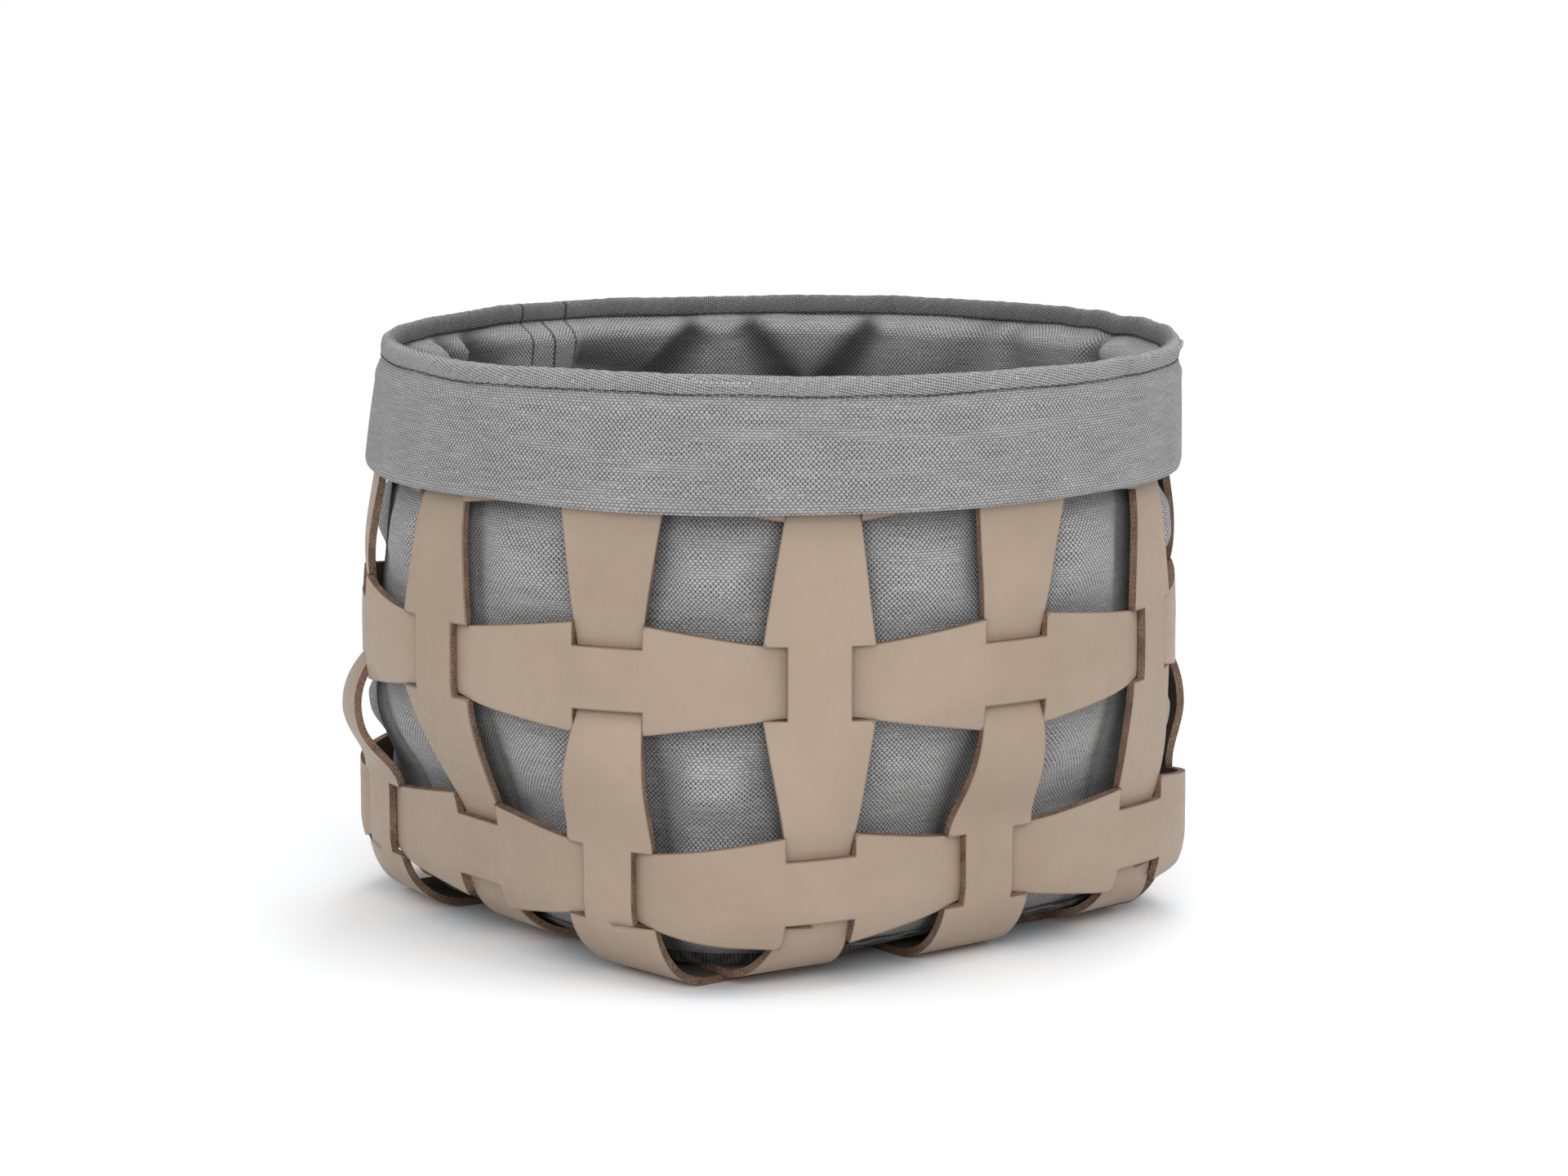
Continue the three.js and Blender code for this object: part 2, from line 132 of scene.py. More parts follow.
def from_middle(a):
    """How far an angle is from the middle of the nearest side, in degrees."""
    turn = a / (90 * DEG)
    return np.abs(turn - np.round(turn)) * 90


def middleness(a):
    return 1 - smooth((from_middle(a) - 9) / 14)


def bend_at(a):
    return SIDE_BEND + (MIDDLE_BEND - SIDE_BEND) * middleness(a)


def ripple(a, z, seed, count, low, high, tall):
    """A smooth, repeatable field over angle and height, mostly between -1 and 1."""
    rng = np.random.default_rng(seed)
    total = 0.0
    for _ in range(count):
        around = int(rng.integers(low, high + 1))
        rise = rng.uniform(-1, 1) / tall
        phase = rng.uniform(0, 2 * math.pi)
        total = total + np.sin(around * a + 2 * math.pi * rise * z + phase)
    return total * 0.9 / math.sqrt(count)


def rim_wave(a):
    """How far the rim rises and dips, and how far it sways in and out."""
    lift = 0.45 * ripple(a, 0 * a, 51, 6, 2, 6, 90.0) + 0.2 * ripple(a, 0 * a, 52, 6, 7, 15, 90.0)
    sway = 0.45 * ripple(a, 0 * a, 53, 6, 3, 9, 90.0)
    for degrees, rise, width in BUCKLES:
        lift = lift + rise * hill(turn_from(a, degrees) / width)
    return lift, sway


def settle(p):
    """Where a point of the basket comes to lie once its rim waves and its soft top leans."""
    a, z = np.arctan2(p[..., 1], p[..., 0]), p[..., 2]
    lift, sway = rim_wave(a)
    near = smooth((z - 214) / 12)
    shift = LEAN * np.clip((z - LEAN_FROM) / (RIM_TOP - LEAN_FROM), 0, 1) ** 2.2
    x = p[..., 0] + np.cos(a) * sway * near + LEAN_WAY[0] * shift
    y = p[..., 1] + np.sin(a) * sway * near + LEAN_WAY[1] * shift
    return np.stack([x, y, z + lift * near], -1)


def belly(a, z):
    """How much wider than at the top the wall is: a little oval, and most at the middle band."""
    wide = BELLY + OVAL * np.cos(2 * (a - OVAL_ANGLE * DEG))
    return wide * (1 - smooth((z - Z_MIDDLE) / (Z_TOP - Z_MIDDLE)))


# The shared middle surface of the shell
def shell_radius(a, z):
    foot = squircle(a, BASE_HALF, BASE_CORNER)
    rise = (z - Z_LOW - TAPER_EASE) / (Z_MIDDLE - Z_LOW - 2 * TAPER_EASE)
    return foot + (WALL_RADIUS + belly(a, z) - foot) * smooth(rise)


def tuck_at(a, z):
    """Where the foot curves in: how far, and which way, square to each side but slantwise at a corner."""
    bend = bend_at(a)
    below = np.clip(BASE_MIDDLE + bend - z, 0, bend)
    face = np.round(a / (90 * DEG)) * 90 * DEG
    away = a - face
    way = face + np.sign(away) * 45 * DEG * smooth((np.abs(away) / DEG - 38) / 7)
    return bend - np.sqrt(bend * bend - below * below), way


def slid(a, z):
    """One strap has slid a little sideways, most of all at the middle band."""
    drift = (2.5 + 2.9 * hill((z - Z_MIDDLE) / 45)) / WALL_RADIUS

    def near(face):
        return 1 - smooth((np.abs(turn_from(a, face)) - 8) / 14)

    return a + drift * (near(90) - near(-90))


def shell_point(a, z):
    turned = slid(a, z)
    r = shell_radius(turned, z)
    depth, way = tuck_at(turned, z)
    x = r * np.cos(turned) - depth * np.cos(way)
    return np.stack([x, r * np.sin(turned) - depth * np.sin(way), z + 0 * r], -1)


def unit(v):
    return v / np.maximum(np.linalg.norm(v, axis=-1, keepdims=True), 1e-12)


def shell_normal(a, z):
    e = 1e-3
    along = shell_point(a + e, z) - shell_point(a - e, z)
    up = shell_point(a, z + 0.1) - shell_point(a, z - 0.1)
    return unit(np.cross(along, up))


def walk(a, z, distance):
    """The angle reached by going a distance along the shell at one height."""
    steps, e = 6, 1e-3
    angle = a + 0 * distance

    def speed(q):
        return np.linalg.norm(shell_point(q + e, z) - shell_point(q - e, z), axis=-1) / (2 * e)

    for _ in range(steps):
        half = angle + distance / steps / 2 / speed(angle)
        angle = angle + distance / steps / speed(half)
    return angle


NO_BOW = math.nan


class Weave:
    """One strip's crossings in order, with the height to which it bows out after each.

    Over a wall crossing it is notched and under it slim. The base's plain crossings are neither.
    """

    def __init__(self, crossings, plain_from=99, plain_to=99):
        self.at, self.over, self.bow = (np.array(row) for row in zip(*crossings))
        number = np.arange(len(crossings))
        self.plain = (number >= plain_from) & (number <= plain_to)
        self.notched = self.at[self.over & ~self.plain]

    def around(self, u):
        i = np.clip(np.searchsorted(self.at, u) - 1, 0, len(self.at) - 2)
        return i, i + 1

    def offset(self, u):
        i, j = self.around(u)
        lift = np.where(self.over, OVER, -OVER)
        hold = np.where(self.plain, HALF_PLAIN, np.where(self.over, HALF_NOTCH + 1.2, HALF_UNDER))
        start, end = self.at[i] + hold[i], self.at[j] - hold[j]
        x = np.clip((u - start) / (end - start), 0, 1)
        plain = lift[i] + (lift[j] - lift[i]) * smooth(x)
        bow = self.bow[i]

        def bowed(c, share):
            """Gently away from a crossing over another strip, and at once from one under it."""
            share = np.clip(share, 0, 1)
            eased = np.where(self.over[c], smooth(share), 1 - (1 - share) ** 2.2)
            return lift[c] + (bow - lift[c]) * eased

        arched = np.where(x < 0.5, bowed(i, 2 * x), bowed(j, 2 - 2 * x))
        return np.where(np.isnan(bow), plain, arched)

    def half(self, u):
        """Half width, notches aside."""
        i, j = self.around(u)
        outside = (u < self.at[0]) | (u > self.at[-1])

        def side(c, other):
            pitch = np.where(outside, Z_TOP - Z_MIDDLE, np.abs(self.at[other] - self.at[c]))
            widened = np.where(self.plain[other] & ~outside, TAIL_WIDENED, pitch - HALF_NOTCH)
            slope = (HALF_WIDE - HALF_TONGUE) / (widened - TONGUE_END)
            slim = HALF_TONGUE + np.maximum(0, np.abs(u - self.at[c]) - TONGUE_END) * slope
            return np.where(self.over[c] | self.plain[c], HALF_WIDE, np.minimum(slim, HALF_WIDE))

        first, second = side(i, j), side(j, i)
        low = np.where(u > self.at[-1], second, np.minimum(first, second))
        return np.where(u < self.at[0], first, low)

    def rows(self, start, end, extra):
        """Where a strip's rows of points lie: at its crossings' marks, and evenly between them."""
        marks = [start, end, *extra]
        for at, over, plain in zip(self.at, self.over, self.plain):
            reach = HALF_PLAIN if plain else HALF_NOTCH if over else TONGUE_END
            marks += [at - reach, at + reach]
        marks = sorted(m for m in marks if start - 1e-6 <= m <= end + 1e-6)
        kept = [marks[0]]
        for m in marks[1:]:
            if m - kept[-1] > 0.04:
                kept.append(m)
        rows = [kept[0]]
        for a, b in zip(kept, kept[1:]):
            n = max(1, math.ceil((b - a) / STEP))
            rows += [a + (b - a) * k / n for k in range(1, n + 1)]
        return np.array(rows)


def as_object(name, points, faces, materials, kinds=()):
    """A mesh object from points in millimetres, settled into place."""
    mesh = bpy.data.meshes.new(name)
    mesh.from_pydata((settle(np.asarray(points)) * MM).tolist(), [], faces)
    for material in materials:
        mesh.materials.append(material)
    if kinds:
        mesh.polygons.foreach_set("material_index", kinds)
    mesh.shade_smooth()
    obj = bpy.data.objects.new(name, mesh)
    bpy.context.scene.collection.objects.link(obj)
    return obj


def set_attribute(obj, name, values):
    values = np.asarray(values, np.float32)
    kind = "FLOAT" if values.ndim == 1 else "FLOAT_VECTOR"
    layer = obj.data.attributes.new(name, kind, "POINT")
    layer.data.foreach_set("value" if kind == "FLOAT" else "vector", values.ravel())


CORE = HALF_NECK / HALF_WIDE
OUTER_COLUMNS = np.linspace(CORE, 1, 6)
COLUMNS = np.concatenate([-OUTER_COLUMNS[::-1], np.linspace(-CORE, CORE, 13)[1:-1], OUTER_COLUMNS])
STEP = 1.9
BAND_STEPS = 7200
ROUND = 0.42
SMOOTH, CUT, FLESH = range(3)


def edge_distance(weave, u, uu, tt, half):
    """How far each place is from the cut edge."""
    notch = np.full(uu.shape, 99.0)
    for at in weave.notched:
        du = np.maximum(0, np.abs(uu - at) - HALF_NOTCH)
        dt = np.maximum(0, HALF_NECK - np.abs(tt))
        notch = np.minimum(notch, np.hypot(du, dt))
    rim = np.minimum(half[:, None] - np.abs(tt), notch)
    return np.minimum(rim, np.minimum(uu - u[0], u[-1] - uu))


def thicken(v, cells, count):
    """The faces of both sides and of the cut edge, with the material of each."""
    faces, kinds = [], []
    solid = np.pad(cells, 1).tolist()
    for i, j in zip(*np.nonzero(cells)):
        a, b, c, d = v[i][j], v[i + 1][j], v[i + 1][j + 1], v[i][j + 1]
        faces += [(a, b, c, d), (d + count, c + count, b + count, a + count)]
        kinds += [SMOOTH, FLESH]
        sides = (
            (solid[i][j + 1], a, d),
            (solid[i + 2][j + 1], c, b),
            (solid[i + 1][j], b, a),
            (solid[i + 1][j + 2], d, c),
        )
        for filled, p, q in sides:
            if not filled:
                faces.append((p, q, q + count, p + count))
                kinds.append(CUT)
    return faces, kinds


def round_edges(mesh):
    """Rounds the two edges along which the cut meets the broad sides."""
    bm = bmesh.new()
    bm.from_mesh(mesh)
    edges = []
    for edge in bm.edges:
        if [face.material_index == CUT for face in edge.link_faces].count(True) == 1:
            edges.append(edge)
    bmesh.ops.bevel(
        bm, geom=edges, offset=ROUND * MM, segments=2, profile=0.5, affect="EDGES", clamp_overlap=True
    )
    bm.to_mesh(mesh)
    bm.free()


def strip(name, surface, weave, u, seed, faces_at=None):
    """A notched strip of leather: a grid over its outline, thickened, with its edges rounded."""
    middle, centre = (u[1:] + u[:-1]) / 2, (COLUMNS[1:] + COLUMNS[:-1]) / 2
    in_notch = (np.abs(middle[:, None] - weave.notched) < HALF_NOTCH).any(1)
    cells = ~(in_notch[:, None] & (np.abs(centre) > CORE))
    half = weave.half(u)
    uu = np.repeat(u[:, None], len(COLUMNS), 1)
    tt = half[:, None] * COLUMNS
    e = 0.05
    points = surface(uu, tt)
    along = surface(uu + e, tt) - surface(uu - e, tt)
    across = surface(uu, tt + e) - surface(uu, tt - e)
    normal = unit(np.cross(along, across))
    high = np.full(len(u), LEATHER / 2)
    low = -high
    if faces_at:
        high, low = faces_at(u)
    padded = np.pad(cells, 1)
    used = padded[1:, 1:] | padded[:-1, 1:] | padded[1:, :-1] | padded[:-1, :-1]
    index = np.where(used, np.cumsum(used.ravel()).reshape(used.shape) - 1, -1)
    count = int(used.sum())
    outer = (points + normal * high[:, None, None])[used]
    inner = (points + normal * low[:, None, None])[used]
    faces, kinds = thicken(index.tolist(), cells, count)
    obj = as_object(name, np.concatenate([outer, inner]), faces, LEATHER_SET, kinds)
    # Rounding makes new points, and each takes its marks from the nearest of the old ones
    tree = kdtree.KDTree(2 * count)
    for k, vertex in enumerate(obj.data.vertices):
        tree.insert(vertex.co, k)
    tree.balance()
    round_edges(obj.data)
    near = [tree.find(vertex.co)[1] % count for vertex in obj.data.vertices]
    lay = np.stack([uu, tt, np.full(uu.shape, seed * 37.0)], -1)
    set_attribute(obj, "lay", lay[used][near])
    set_attribute(obj, "rim", edge_distance(weave, u, uu, tt, half)[used][near])
    obj.data.shade_smooth()
    obj.modifiers.new("normals", "WEIGHTED_NORMAL").weight = 60
    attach(obj, "shell")
    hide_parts(name.removesuffix("_leather"))


class StrapFrame:
    """Where one strap leaves the wall for the base."""

    def __init__(self, face, column):
        self.column = column
        self.out = np.array([math.cos(face), math.sin(face), 0.0])
        self.side = np.array([-math.sin(face), math.cos(face), 0.0])
        self.angle = face + column * STRAP_ANGLE * DEG
        self.foot = shell_point(self.angle, Z_LOW)
        normal = shell_normal(self.angle, Z_LOW)
        self.bend = float(bend_at(self.angle))
        self.bend_top = BASE_MIDDLE + self.bend
        self.start = math.asin((self.bend_top - TAIL_TOP) / self.bend)
        self.arc = self.bend * (math.pi / 2 - self.start)
        self.reach = float(self.foot @ self.out)
        self.shift = float(self.foot @ self.side)
        self.twist = math.atan2(float(normal @ self.side), float(normal @ self.out))

    def surface(self, u, t, lift):
        """The middle surface of half a strap: u runs down from its top edge, t sideways."""
        z = STRAP_TOP - u
        wall_z = np.maximum(z, TAIL_TOP)
        a = walk(self.angle, wall_z, t)
        wall = shell_point(a, wall_z) + shell_normal(a, wall_z) * lift[..., None]
        up = np.array([0.0, 0.0, 1.0])
        along = u - (STRAP_TOP - TAIL_TOP)
        w = np.clip(along / self.arc, 0, 1)
        beta = self.start + np.clip(along / self.bend, 0, math.pi / 2 - self.start)
        flat = np.maximum(0, along - self.arc)
        twist = self.twist * (1 - smooth(w))
        keep = 1 - smooth(w * 1.15)
        shift = self.shift + (self.column * BASE_PITCH - self.shift) * smooth(w)
        far = self.reach - self.bend * (1 - np.cos(beta)) - flat
        height = self.bend_top - self.bend * np.sin(beta)
        centre = far[..., None] * self.out + shift[..., None] * self.side + height[..., None] * up
        outward = np.cos(beta)[..., None] * self.out - np.sin(beta)[..., None] * up
        cos_t, sin_t = np.cos(twist)[..., None], np.sin(twist)[..., None]
        across = cos_t * self.side - sin_t * outward
        facing = cos_t * outward + sin_t * self.side
        low = np.full_like(t, Z_LOW)
        a = walk(self.angle, low, t)
        q = shell_point(a, low) - self.foot
        tangent = math.cos(self.twist) * self.side - math.sin(self.twist) * self.out
        direct = math.cos(self.twist) * self.out + math.sin(self.twist) * self.side
        n = shell_normal(a, low)
        lean = np.arctan2(n @ tangent, n @ direct) * keep
        qt = q @ tangent
        wide = qt + (t - qt) * (1 - keep)
        tail = centre + across * wide[..., None] + facing * ((q @ direct) * keep)[..., None]
        tail = tail + facing * (lift * np.cos(lean))[..., None] + across * (lift * np.sin(lean))[..., None]
        return np.where((z >= TAIL_TOP)[..., None], wall, tail)


def strap(name, face, column, top_over, bows, seed):
    place, back = StrapFrame(face, column), StrapFrame(face + math.pi, -column)
    half = STRAP_TOP - TAIL_TOP + place.arc + place.reach - place.bend
    places = [STRAP_TOP - Z_TOP, STRAP_TOP - Z_MIDDLE, STRAP_TOP - Z_LOW, half - BASE_PITCH]
    overs = [top_over, not top_over, top_over, top_over]
    near = zip(places, overs, [*bows[0], NO_BOW, NO_BOW])
    far = zip([2 * half - at for at in places[::-1]], overs[::-1], [NO_BOW, *bows[1][::-1], NO_BOW])
    weave = Weave([*near, (half, not top_over, NO_BOW), *far], 3, 5)

    def surface(u, t):
        lift = weave.offset(u)
        first = place.surface(np.minimum(u, half), t, lift)
        second = back.surface(np.minimum(2 * half - u, half), -t, lift)
        return np.where((u <= half)[..., None], first, second)

    bend_from = STRAP_TOP - TAIL_TOP
    extra = [bend_from, 2 * half - bend_from, bend_from + place.arc, 2 * half - bend_from - place.arc]
    strip(name, surface, weave, weave.rows(0, 2 * half, extra), seed)


def band(name, z, over_even, bows, seed):
    angles = np.linspace(0, 2 * math.pi, BAND_STEPS + 1)
    ring = shell_point(angles, np.full_like(angles, z))
    length = np.concatenate([[0], np.cumsum(np.linalg.norm(np.diff(ring, axis=0), axis=1))])
    total = length[-1]

    def angle_at(u):
        laps = np.floor(u / total)
        return laps * 2 * math.pi + np.interp(u - laps * total, length, angles)

    def place_of(a):
        laps = math.floor(a / (2 * math.pi))
        return laps * total + np.interp(a - laps * 2 * math.pi, angles, length)

    crossings = []
    for i in range(21):
        face, column = i // 3 - 1, i % 3 - 1
        at = place_of((face * 90 + column * STRAP_ANGLE) * DEG)
        crossings.append((float(at), (i % 2 == 0) == over_even, bows[1] if column == 1 else bows[0]))
    weave = Weave(crossings)
    seam = next(at for i, (at, over, _) in enumerate(crossings) if i > 6 and not over)
    lap = LAP_LENGTH / 2

    def surface(u, t):
        a = angle_at(u)
        return shell_point(a, z + t) + shell_normal(a, z + t) * weave.offset(u)[..., None]

    def faces_at(u):
        high = np.where(u < seam + lap, -WEAVE_GAP / 2, LEATHER / 2)
        low = np.where(u > seam + total - lap, WEAVE_GAP / 2, -LEATHER / 2)
        return high, low

    extra = [seam + lap - 0.05, seam + lap + 0.05, seam + total - lap - 0.05, seam + total - lap + 0.05]
    u = weave.rows(seam - lap + 0.3, seam + total + lap - 0.3, extra)
    strip(name, surface, weave, u, seed, faces_at)


# Materials
class Tree:
    """The nodes of a material or of the world, with short calls for the ones that repeat."""

    def __init__(self, owner):
        self.owner = owner
        owner.use_nodes = True
        self.nodes = owner.node_tree.nodes
        self.links = owner.node_tree.links

    def put(self, socket, value):
        if isinstance(value, bpy.types.NodeSocket):
            self.links.new(value, socket)
        elif value is not None:
            socket.default_value = (*value, 1) if socket.type == "RGBA" else value

    def node(self, kind, *values, **named):
        """A new node: inputs by place or by a name with a capital, settings by a small name."""
        node = self.nodes.new("ShaderNode" + kind)
        for key, value in named.items():
            if key.islower():
                setattr(node, key, value)
            else:
                self.put(node.inputs[key.replace("_", " ")], value)
        for socket, value in zip(node.inputs, values):
            self.put(socket, value)
        return node

    def math(self, operation, a, b=None, clamp=False):
        return self.node("Math", a, b, operation=operation, use_clamp=clamp).outputs[0]

    def times(self, a, b, plus=0.0):
        """a times b, plus a third value."""
        return self.node("Math", a, b, plus, operation="MULTIPLY_ADD").outputs[0]

    def attribute(self, name, output="Fac"):
        return self.node("Attribute", attribute_name=name).outputs[output]

    def place(self):
        return self.node("TexCoord").outputs["Object"]

    def split(self, vector):
        return self.node("SeparateXYZ", vector).outputs

    def join(self, x, y, z):
        return self.node("CombineXYZ", x, y, z).outputs[0]

    def noise(self, vector, scale=1.0, detail=2.0, rough=0.5):
        node = self.node("TexNoise", vector, Scale=scale, Detail=detail, Roughness=rough)
        return node.outputs["Fac"]

    def span(self, value, *ends):
        """How far a value is from one end to another, eased: from 0 to 1, or as two more ends say."""
        return self.node("MapRange", value, *ends, interpolation_type="SMOOTHSTEP").outputs[0]

    def mix(self, factor, a, b):
        node = self.node("Mix", factor, data_type="RGBA")
        self.put(node.inputs[6], a)
        self.put(node.inputs[7], b)
        return node.outputs[2]

    def shade(self, colour, factor):
        """The colour times a number."""
        return self.node("VectorMath", colour, operation="SCALE", Scale=factor).outputs[0]

    def bump(self, height, distance, strength, below=None):
        node = self.node("Bump", Height=height, Distance=distance, Strength=strength, Normal=below)
        return node.outputs[0]

    def finish(self, colour, roughness, normal, specular, sheen=0.0):
        inputs = {"Base Color": colour, "Roughness": roughness, "Normal": normal}
        inputs |= {"Specular IOR Level": specular, "Sheen Weight": sheen}
        for key, value in inputs.items():
            self.put(self.nodes["Principled BSDF"].inputs[key], value)
        return self.owner

    def show(self, output, kinds, plain, shown):
        """Puts out the shader shown for rays of the kinds that are named, and plain for all others."""
        ray, seen = self.node("LightPath"), 0.0
        for kind in kinds:
            seen = self.math("MAXIMUM", seen, ray.outputs[f"Is {kind} Ray"])
        blend = self.node("MixShader", seen, plain.outputs[0], shown.outputs[0])
        self.put(self.nodes[output].inputs["Surface"], blend.outputs[0])


def new_material(name):
    return Tree(bpy.data.materials.new(name))


def leather_face():
    t = new_material("leather_face")
    lay = t.attribute("lay", "Vector")
    rim = t.attribute("rim")
    broad = t.noise(lay, 0.018)
    cloud = t.noise(lay, 0.11, 3.0)
    stretched = t.node("VectorMath", lay, (1, 1, 1.7), operation="MULTIPLY")
    blush = t.noise(stretched.outputs[0], 0.026, 1.0)
    fine = t.noise(lay, 2.6, 3.0)
    colour = t.mix(t.span(broad, 0.3, 0.7), (0.408, 0.313, 0.236), (0.450, 0.349, 0.267))
    colour = t.mix(t.span(blush, 0.56, 0.76, 0, 0.5), colour, (0.470, 0.338, 0.252))
    colour = t.shade(colour, t.span(cloud, 0.3, 0.7, 0.985, 1.015))
    colour = t.shade(colour, t.span(fine, 0.25, 0.75, 0.965, 1.03))
    colour = t.shade(colour, t.span(rim, 0.0, 0.75, 0.62, 1.0))
    grain = t.node("TexVoronoi", lay, Scale=1.35).outputs["Distance"]
    pores = t.noise(lay, 4.5)
    normal = t.bump(grain, 0.00006, 0.35)
    normal = t.bump(pores, 0.00004, 0.3, normal)
    normal = t.bump(cloud, 0.0004, 0.12, normal)
    rough = t.span(t.noise(lay, 0.4), 0.3, 0.7, 0.46, 0.6)
    return t.finish(colour, rough, normal, 0.38)


def leather_edge():
    t = new_material("leather_edge")
    fibre = t.noise(t.place(), 1500, 3.0, 0.6)
    broad = t.noise(t.place(), 120)
    colour = t.mix(t.span(fibre, 0.3, 0.7), (0.125, 0.076, 0.050), (0.325, 0.212, 0.150))
    colour = t.shade(colour, t.span(broad, 0.3, 0.7, 0.8, 1.2))
    normal = t.bump(fibre, 0.00015, 0.5)
    return t.finish(colour, 0.72, normal, 0.25)


def leather_flesh():
    t = new_material("leather_flesh")
    lay = t.attribute("lay", "Vector")
    nap = t.noise(lay, 2.2, 4.0, 0.65)
    broad = t.noise(lay, 0.05)
    # Painted shade: these browns are darker than the flesh side's own suede brown, for the deep shade it
    # lies in inside the tails' curves
    colour = t.mix(t.span(nap, 0.3, 0.7), (0.085, 0.054, 0.036), (0.160, 0.106, 0.072))
    colour = t.shade(colour, t.span(broad, 0.3, 0.7, 0.88, 1.1))
    normal = t.bump(nap, 0.00025, 0.6)
    return t.finish(colour, 0.92, normal, 0.15, 0.1)


WARP, WEFT = 0.93, 1.03
HOLE, YARN = 0.03, 0.62


def weave_cloth(name, around=None, slant=0.0, scale=1.0, streaks=0.0):
    """Coarse plain weave: long bright weft threads with a small dark hole beside each warp thread.

    around is the basket's girth there in mm, for cloth that runs round it.
    """
    t = new_material(name)
    place = t.split(t.place())
    run = t.attribute("run")
    painted_light = t.attribute("painted_light")
    warp, weft = WARP * scale, WEFT * scale
    if around is None:
        x = t.math("DIVIDE", place[0], warp * MM)
        y = t.math("DIVIDE", place[1], weft * MM)
        wide = t.math("DIVIDE", place[0], MM)
        tall = t.math("DIVIDE", place[1], MM)
    else:
        # Whole, even numbers of threads round the basket, so that the weave closes
        turn = t.math("DIVIDE", t.math("ARCTAN2", place[1], place[0]), 2 * math.pi)
        wide, tall = t.times(turn, around), run
        cos, sin = math.cos(slant * DEG), math.sin(slant * DEG)
        x = t.times(turn, 2 * round(around * cos / warp / 2))
        x = t.times(run, -sin / warp, x)
        y = t.times(turn, 2 * round(around * sin / weft / 2))
        y = t.times(run, cos / weft, y)
    flat = t.join(wide, tall, 0.0)
    x = t.times(t.noise(flat, 0.09), 1.6, x)
    row = t.math("SINE", t.times(y, math.pi))
    checker = t.times(t.math("SINE", t.times(x, math.pi)), row)
    weft_tone = t.noise(t.join(t.times(x, 0.05), t.math("FLOOR", y), 3.0), 1.0)
    speck = t.noise(flat, 1.1, 2.0, 0.6)
    cloud = t.noise(flat, 0.035)
    # In some streaks the holes close and only the rows of threads show
    stretched = t.join(t.times(wide, 0.016), t.times(tall, 0.13), 5.0)
    streaky = t.span(t.noise(stretched), 0.46, 0.7)
    edge = t.span(run, 5.0, 13.0, streaks, 0.0)
    streaky = t.math("MAXIMUM", streaky, t.math("MAXIMUM", edge, t.span(run, 41.0, 47.0, 0.0, streaks)))
    holes = t.span(checker, -0.85, -0.1, 0.0, 0.66)
    holes = t.math("ADD", holes, t.times(streaky, t.times(holes, -0.7, 0.4)))
    crowns = t.span(checker, 0.35, 0.95, 0.0, 0.4)
    rows = t.span(t.math("ABSOLUTE", row), 0.1, 0.8, -0.3, 0.1)
    lit = t.math("ADD", t.math("ADD", holes, crowns), rows)
    lit = t.math("ADD", lit, t.times(weft_tone, 0.5, -0.25))
    lit = t.math("ADD", lit, t.times(speck, 0.6, -0.3))
    lit = t.math("ADD", lit, t.span(t.noise(flat, 0.75, 1.0), 0.62, 0.76, 0.0, 0.5), clamp=True)
    colour = t.mix(lit, (HOLE,) * 3, (YARN, YARN, YARN * 1.005))
    # Painted shade: the painted_light attribute darkens the cloth in fold valleys, seams, crevices beside
    # straps, inside and near the floor
    colour = t.shade(colour, t.times(painted_light, t.span(cloud, 0.3, 0.7, 0.95, 1.05)))
    threads = t.math("POWER", t.math("ABSOLUTE", checker), 0.6)
    height = t.math("ADD", threads, t.times(speck, 0.4))
    normal = t.bump(height, 0.0002, 0.6)
    return t.finish(colour, 0.88, normal, 0.2, 0.12)


def thread(name, dark, light):
    t = new_material(name)
    ply = t.noise(t.place(), 2400)
    colour = t.mix(ply, (dark,) * 3, (light,) * 3)
    return t.finish(colour, 0.7, t.bump(ply, 0.0001, 0.5), 0.3)


LEATHER_SET = [leather_face(), leather_edge(), leather_flesh()]
THREAD = thread("thread", 0.016, 0.06)
FRAY = thread("frayed_threads", 0.22, 0.5)

LONG_X, LONG_Y = math.pi, -math.pi / 2
straps = [
    ("strap_x_near", LONG_X, 1, True, [[1, 6], [3.5, 7]]),
    ("strap_x_middle", LONG_X, 0, False, [[1.8, 1.8], [1.8, 1.8]]),
    ("strap_x_far", LONG_X, -1, True, [[2.5, 11], [1, 6]]),
    ("strap_y_left", LONG_Y, -1, False, [[1.8, 1.8], [1.8, 1.8]]),
    ("strap_y_middle", LONG_Y, 0, True, [[1, 5], [1, 6]]),
    ("strap_y_right", LONG_Y, 1, False, [[1.8, 1.8], [1.8, 1.8]]),
]
for number, (name, face, column, top_over, bows) in enumerate(straps):
    strap(name + "_leather", face, column, top_over, bows, number + 1)
band("band_low_leather", Z_LOW, True, [1.65, 4], 7)
band("band_middle_leather", Z_MIDDLE, False, [1.65, 1.65], 8)
band("band_top_leather", Z_TOP, True, [1.65, 1.65], 9)


# Cloth
def rings(coarse):
    """A column of angles round the basket, closer together at the side seam."""
    fine_from, fine_to, fine = SEAM_ANGLE - 8, SEAM_ANGLE + 8, 0.13
    dense = np.arange(fine_from, fine_to, fine)
    rest = np.linspace(fine_to, fine_from + 360, int((360 - fine_to + fine_from) / coarse))[:-1]
    return np.concatenate([dense, rest])[:, None] * DEG


def section_normal(r, z):
    """The direction to the right of each section's line, as angles by places."""
    dr, dz = np.gradient(r, axis=1), np.gradient(z, axis=1)
    size = np.hypot(dr, dz)
    return dz / size, -dr / size


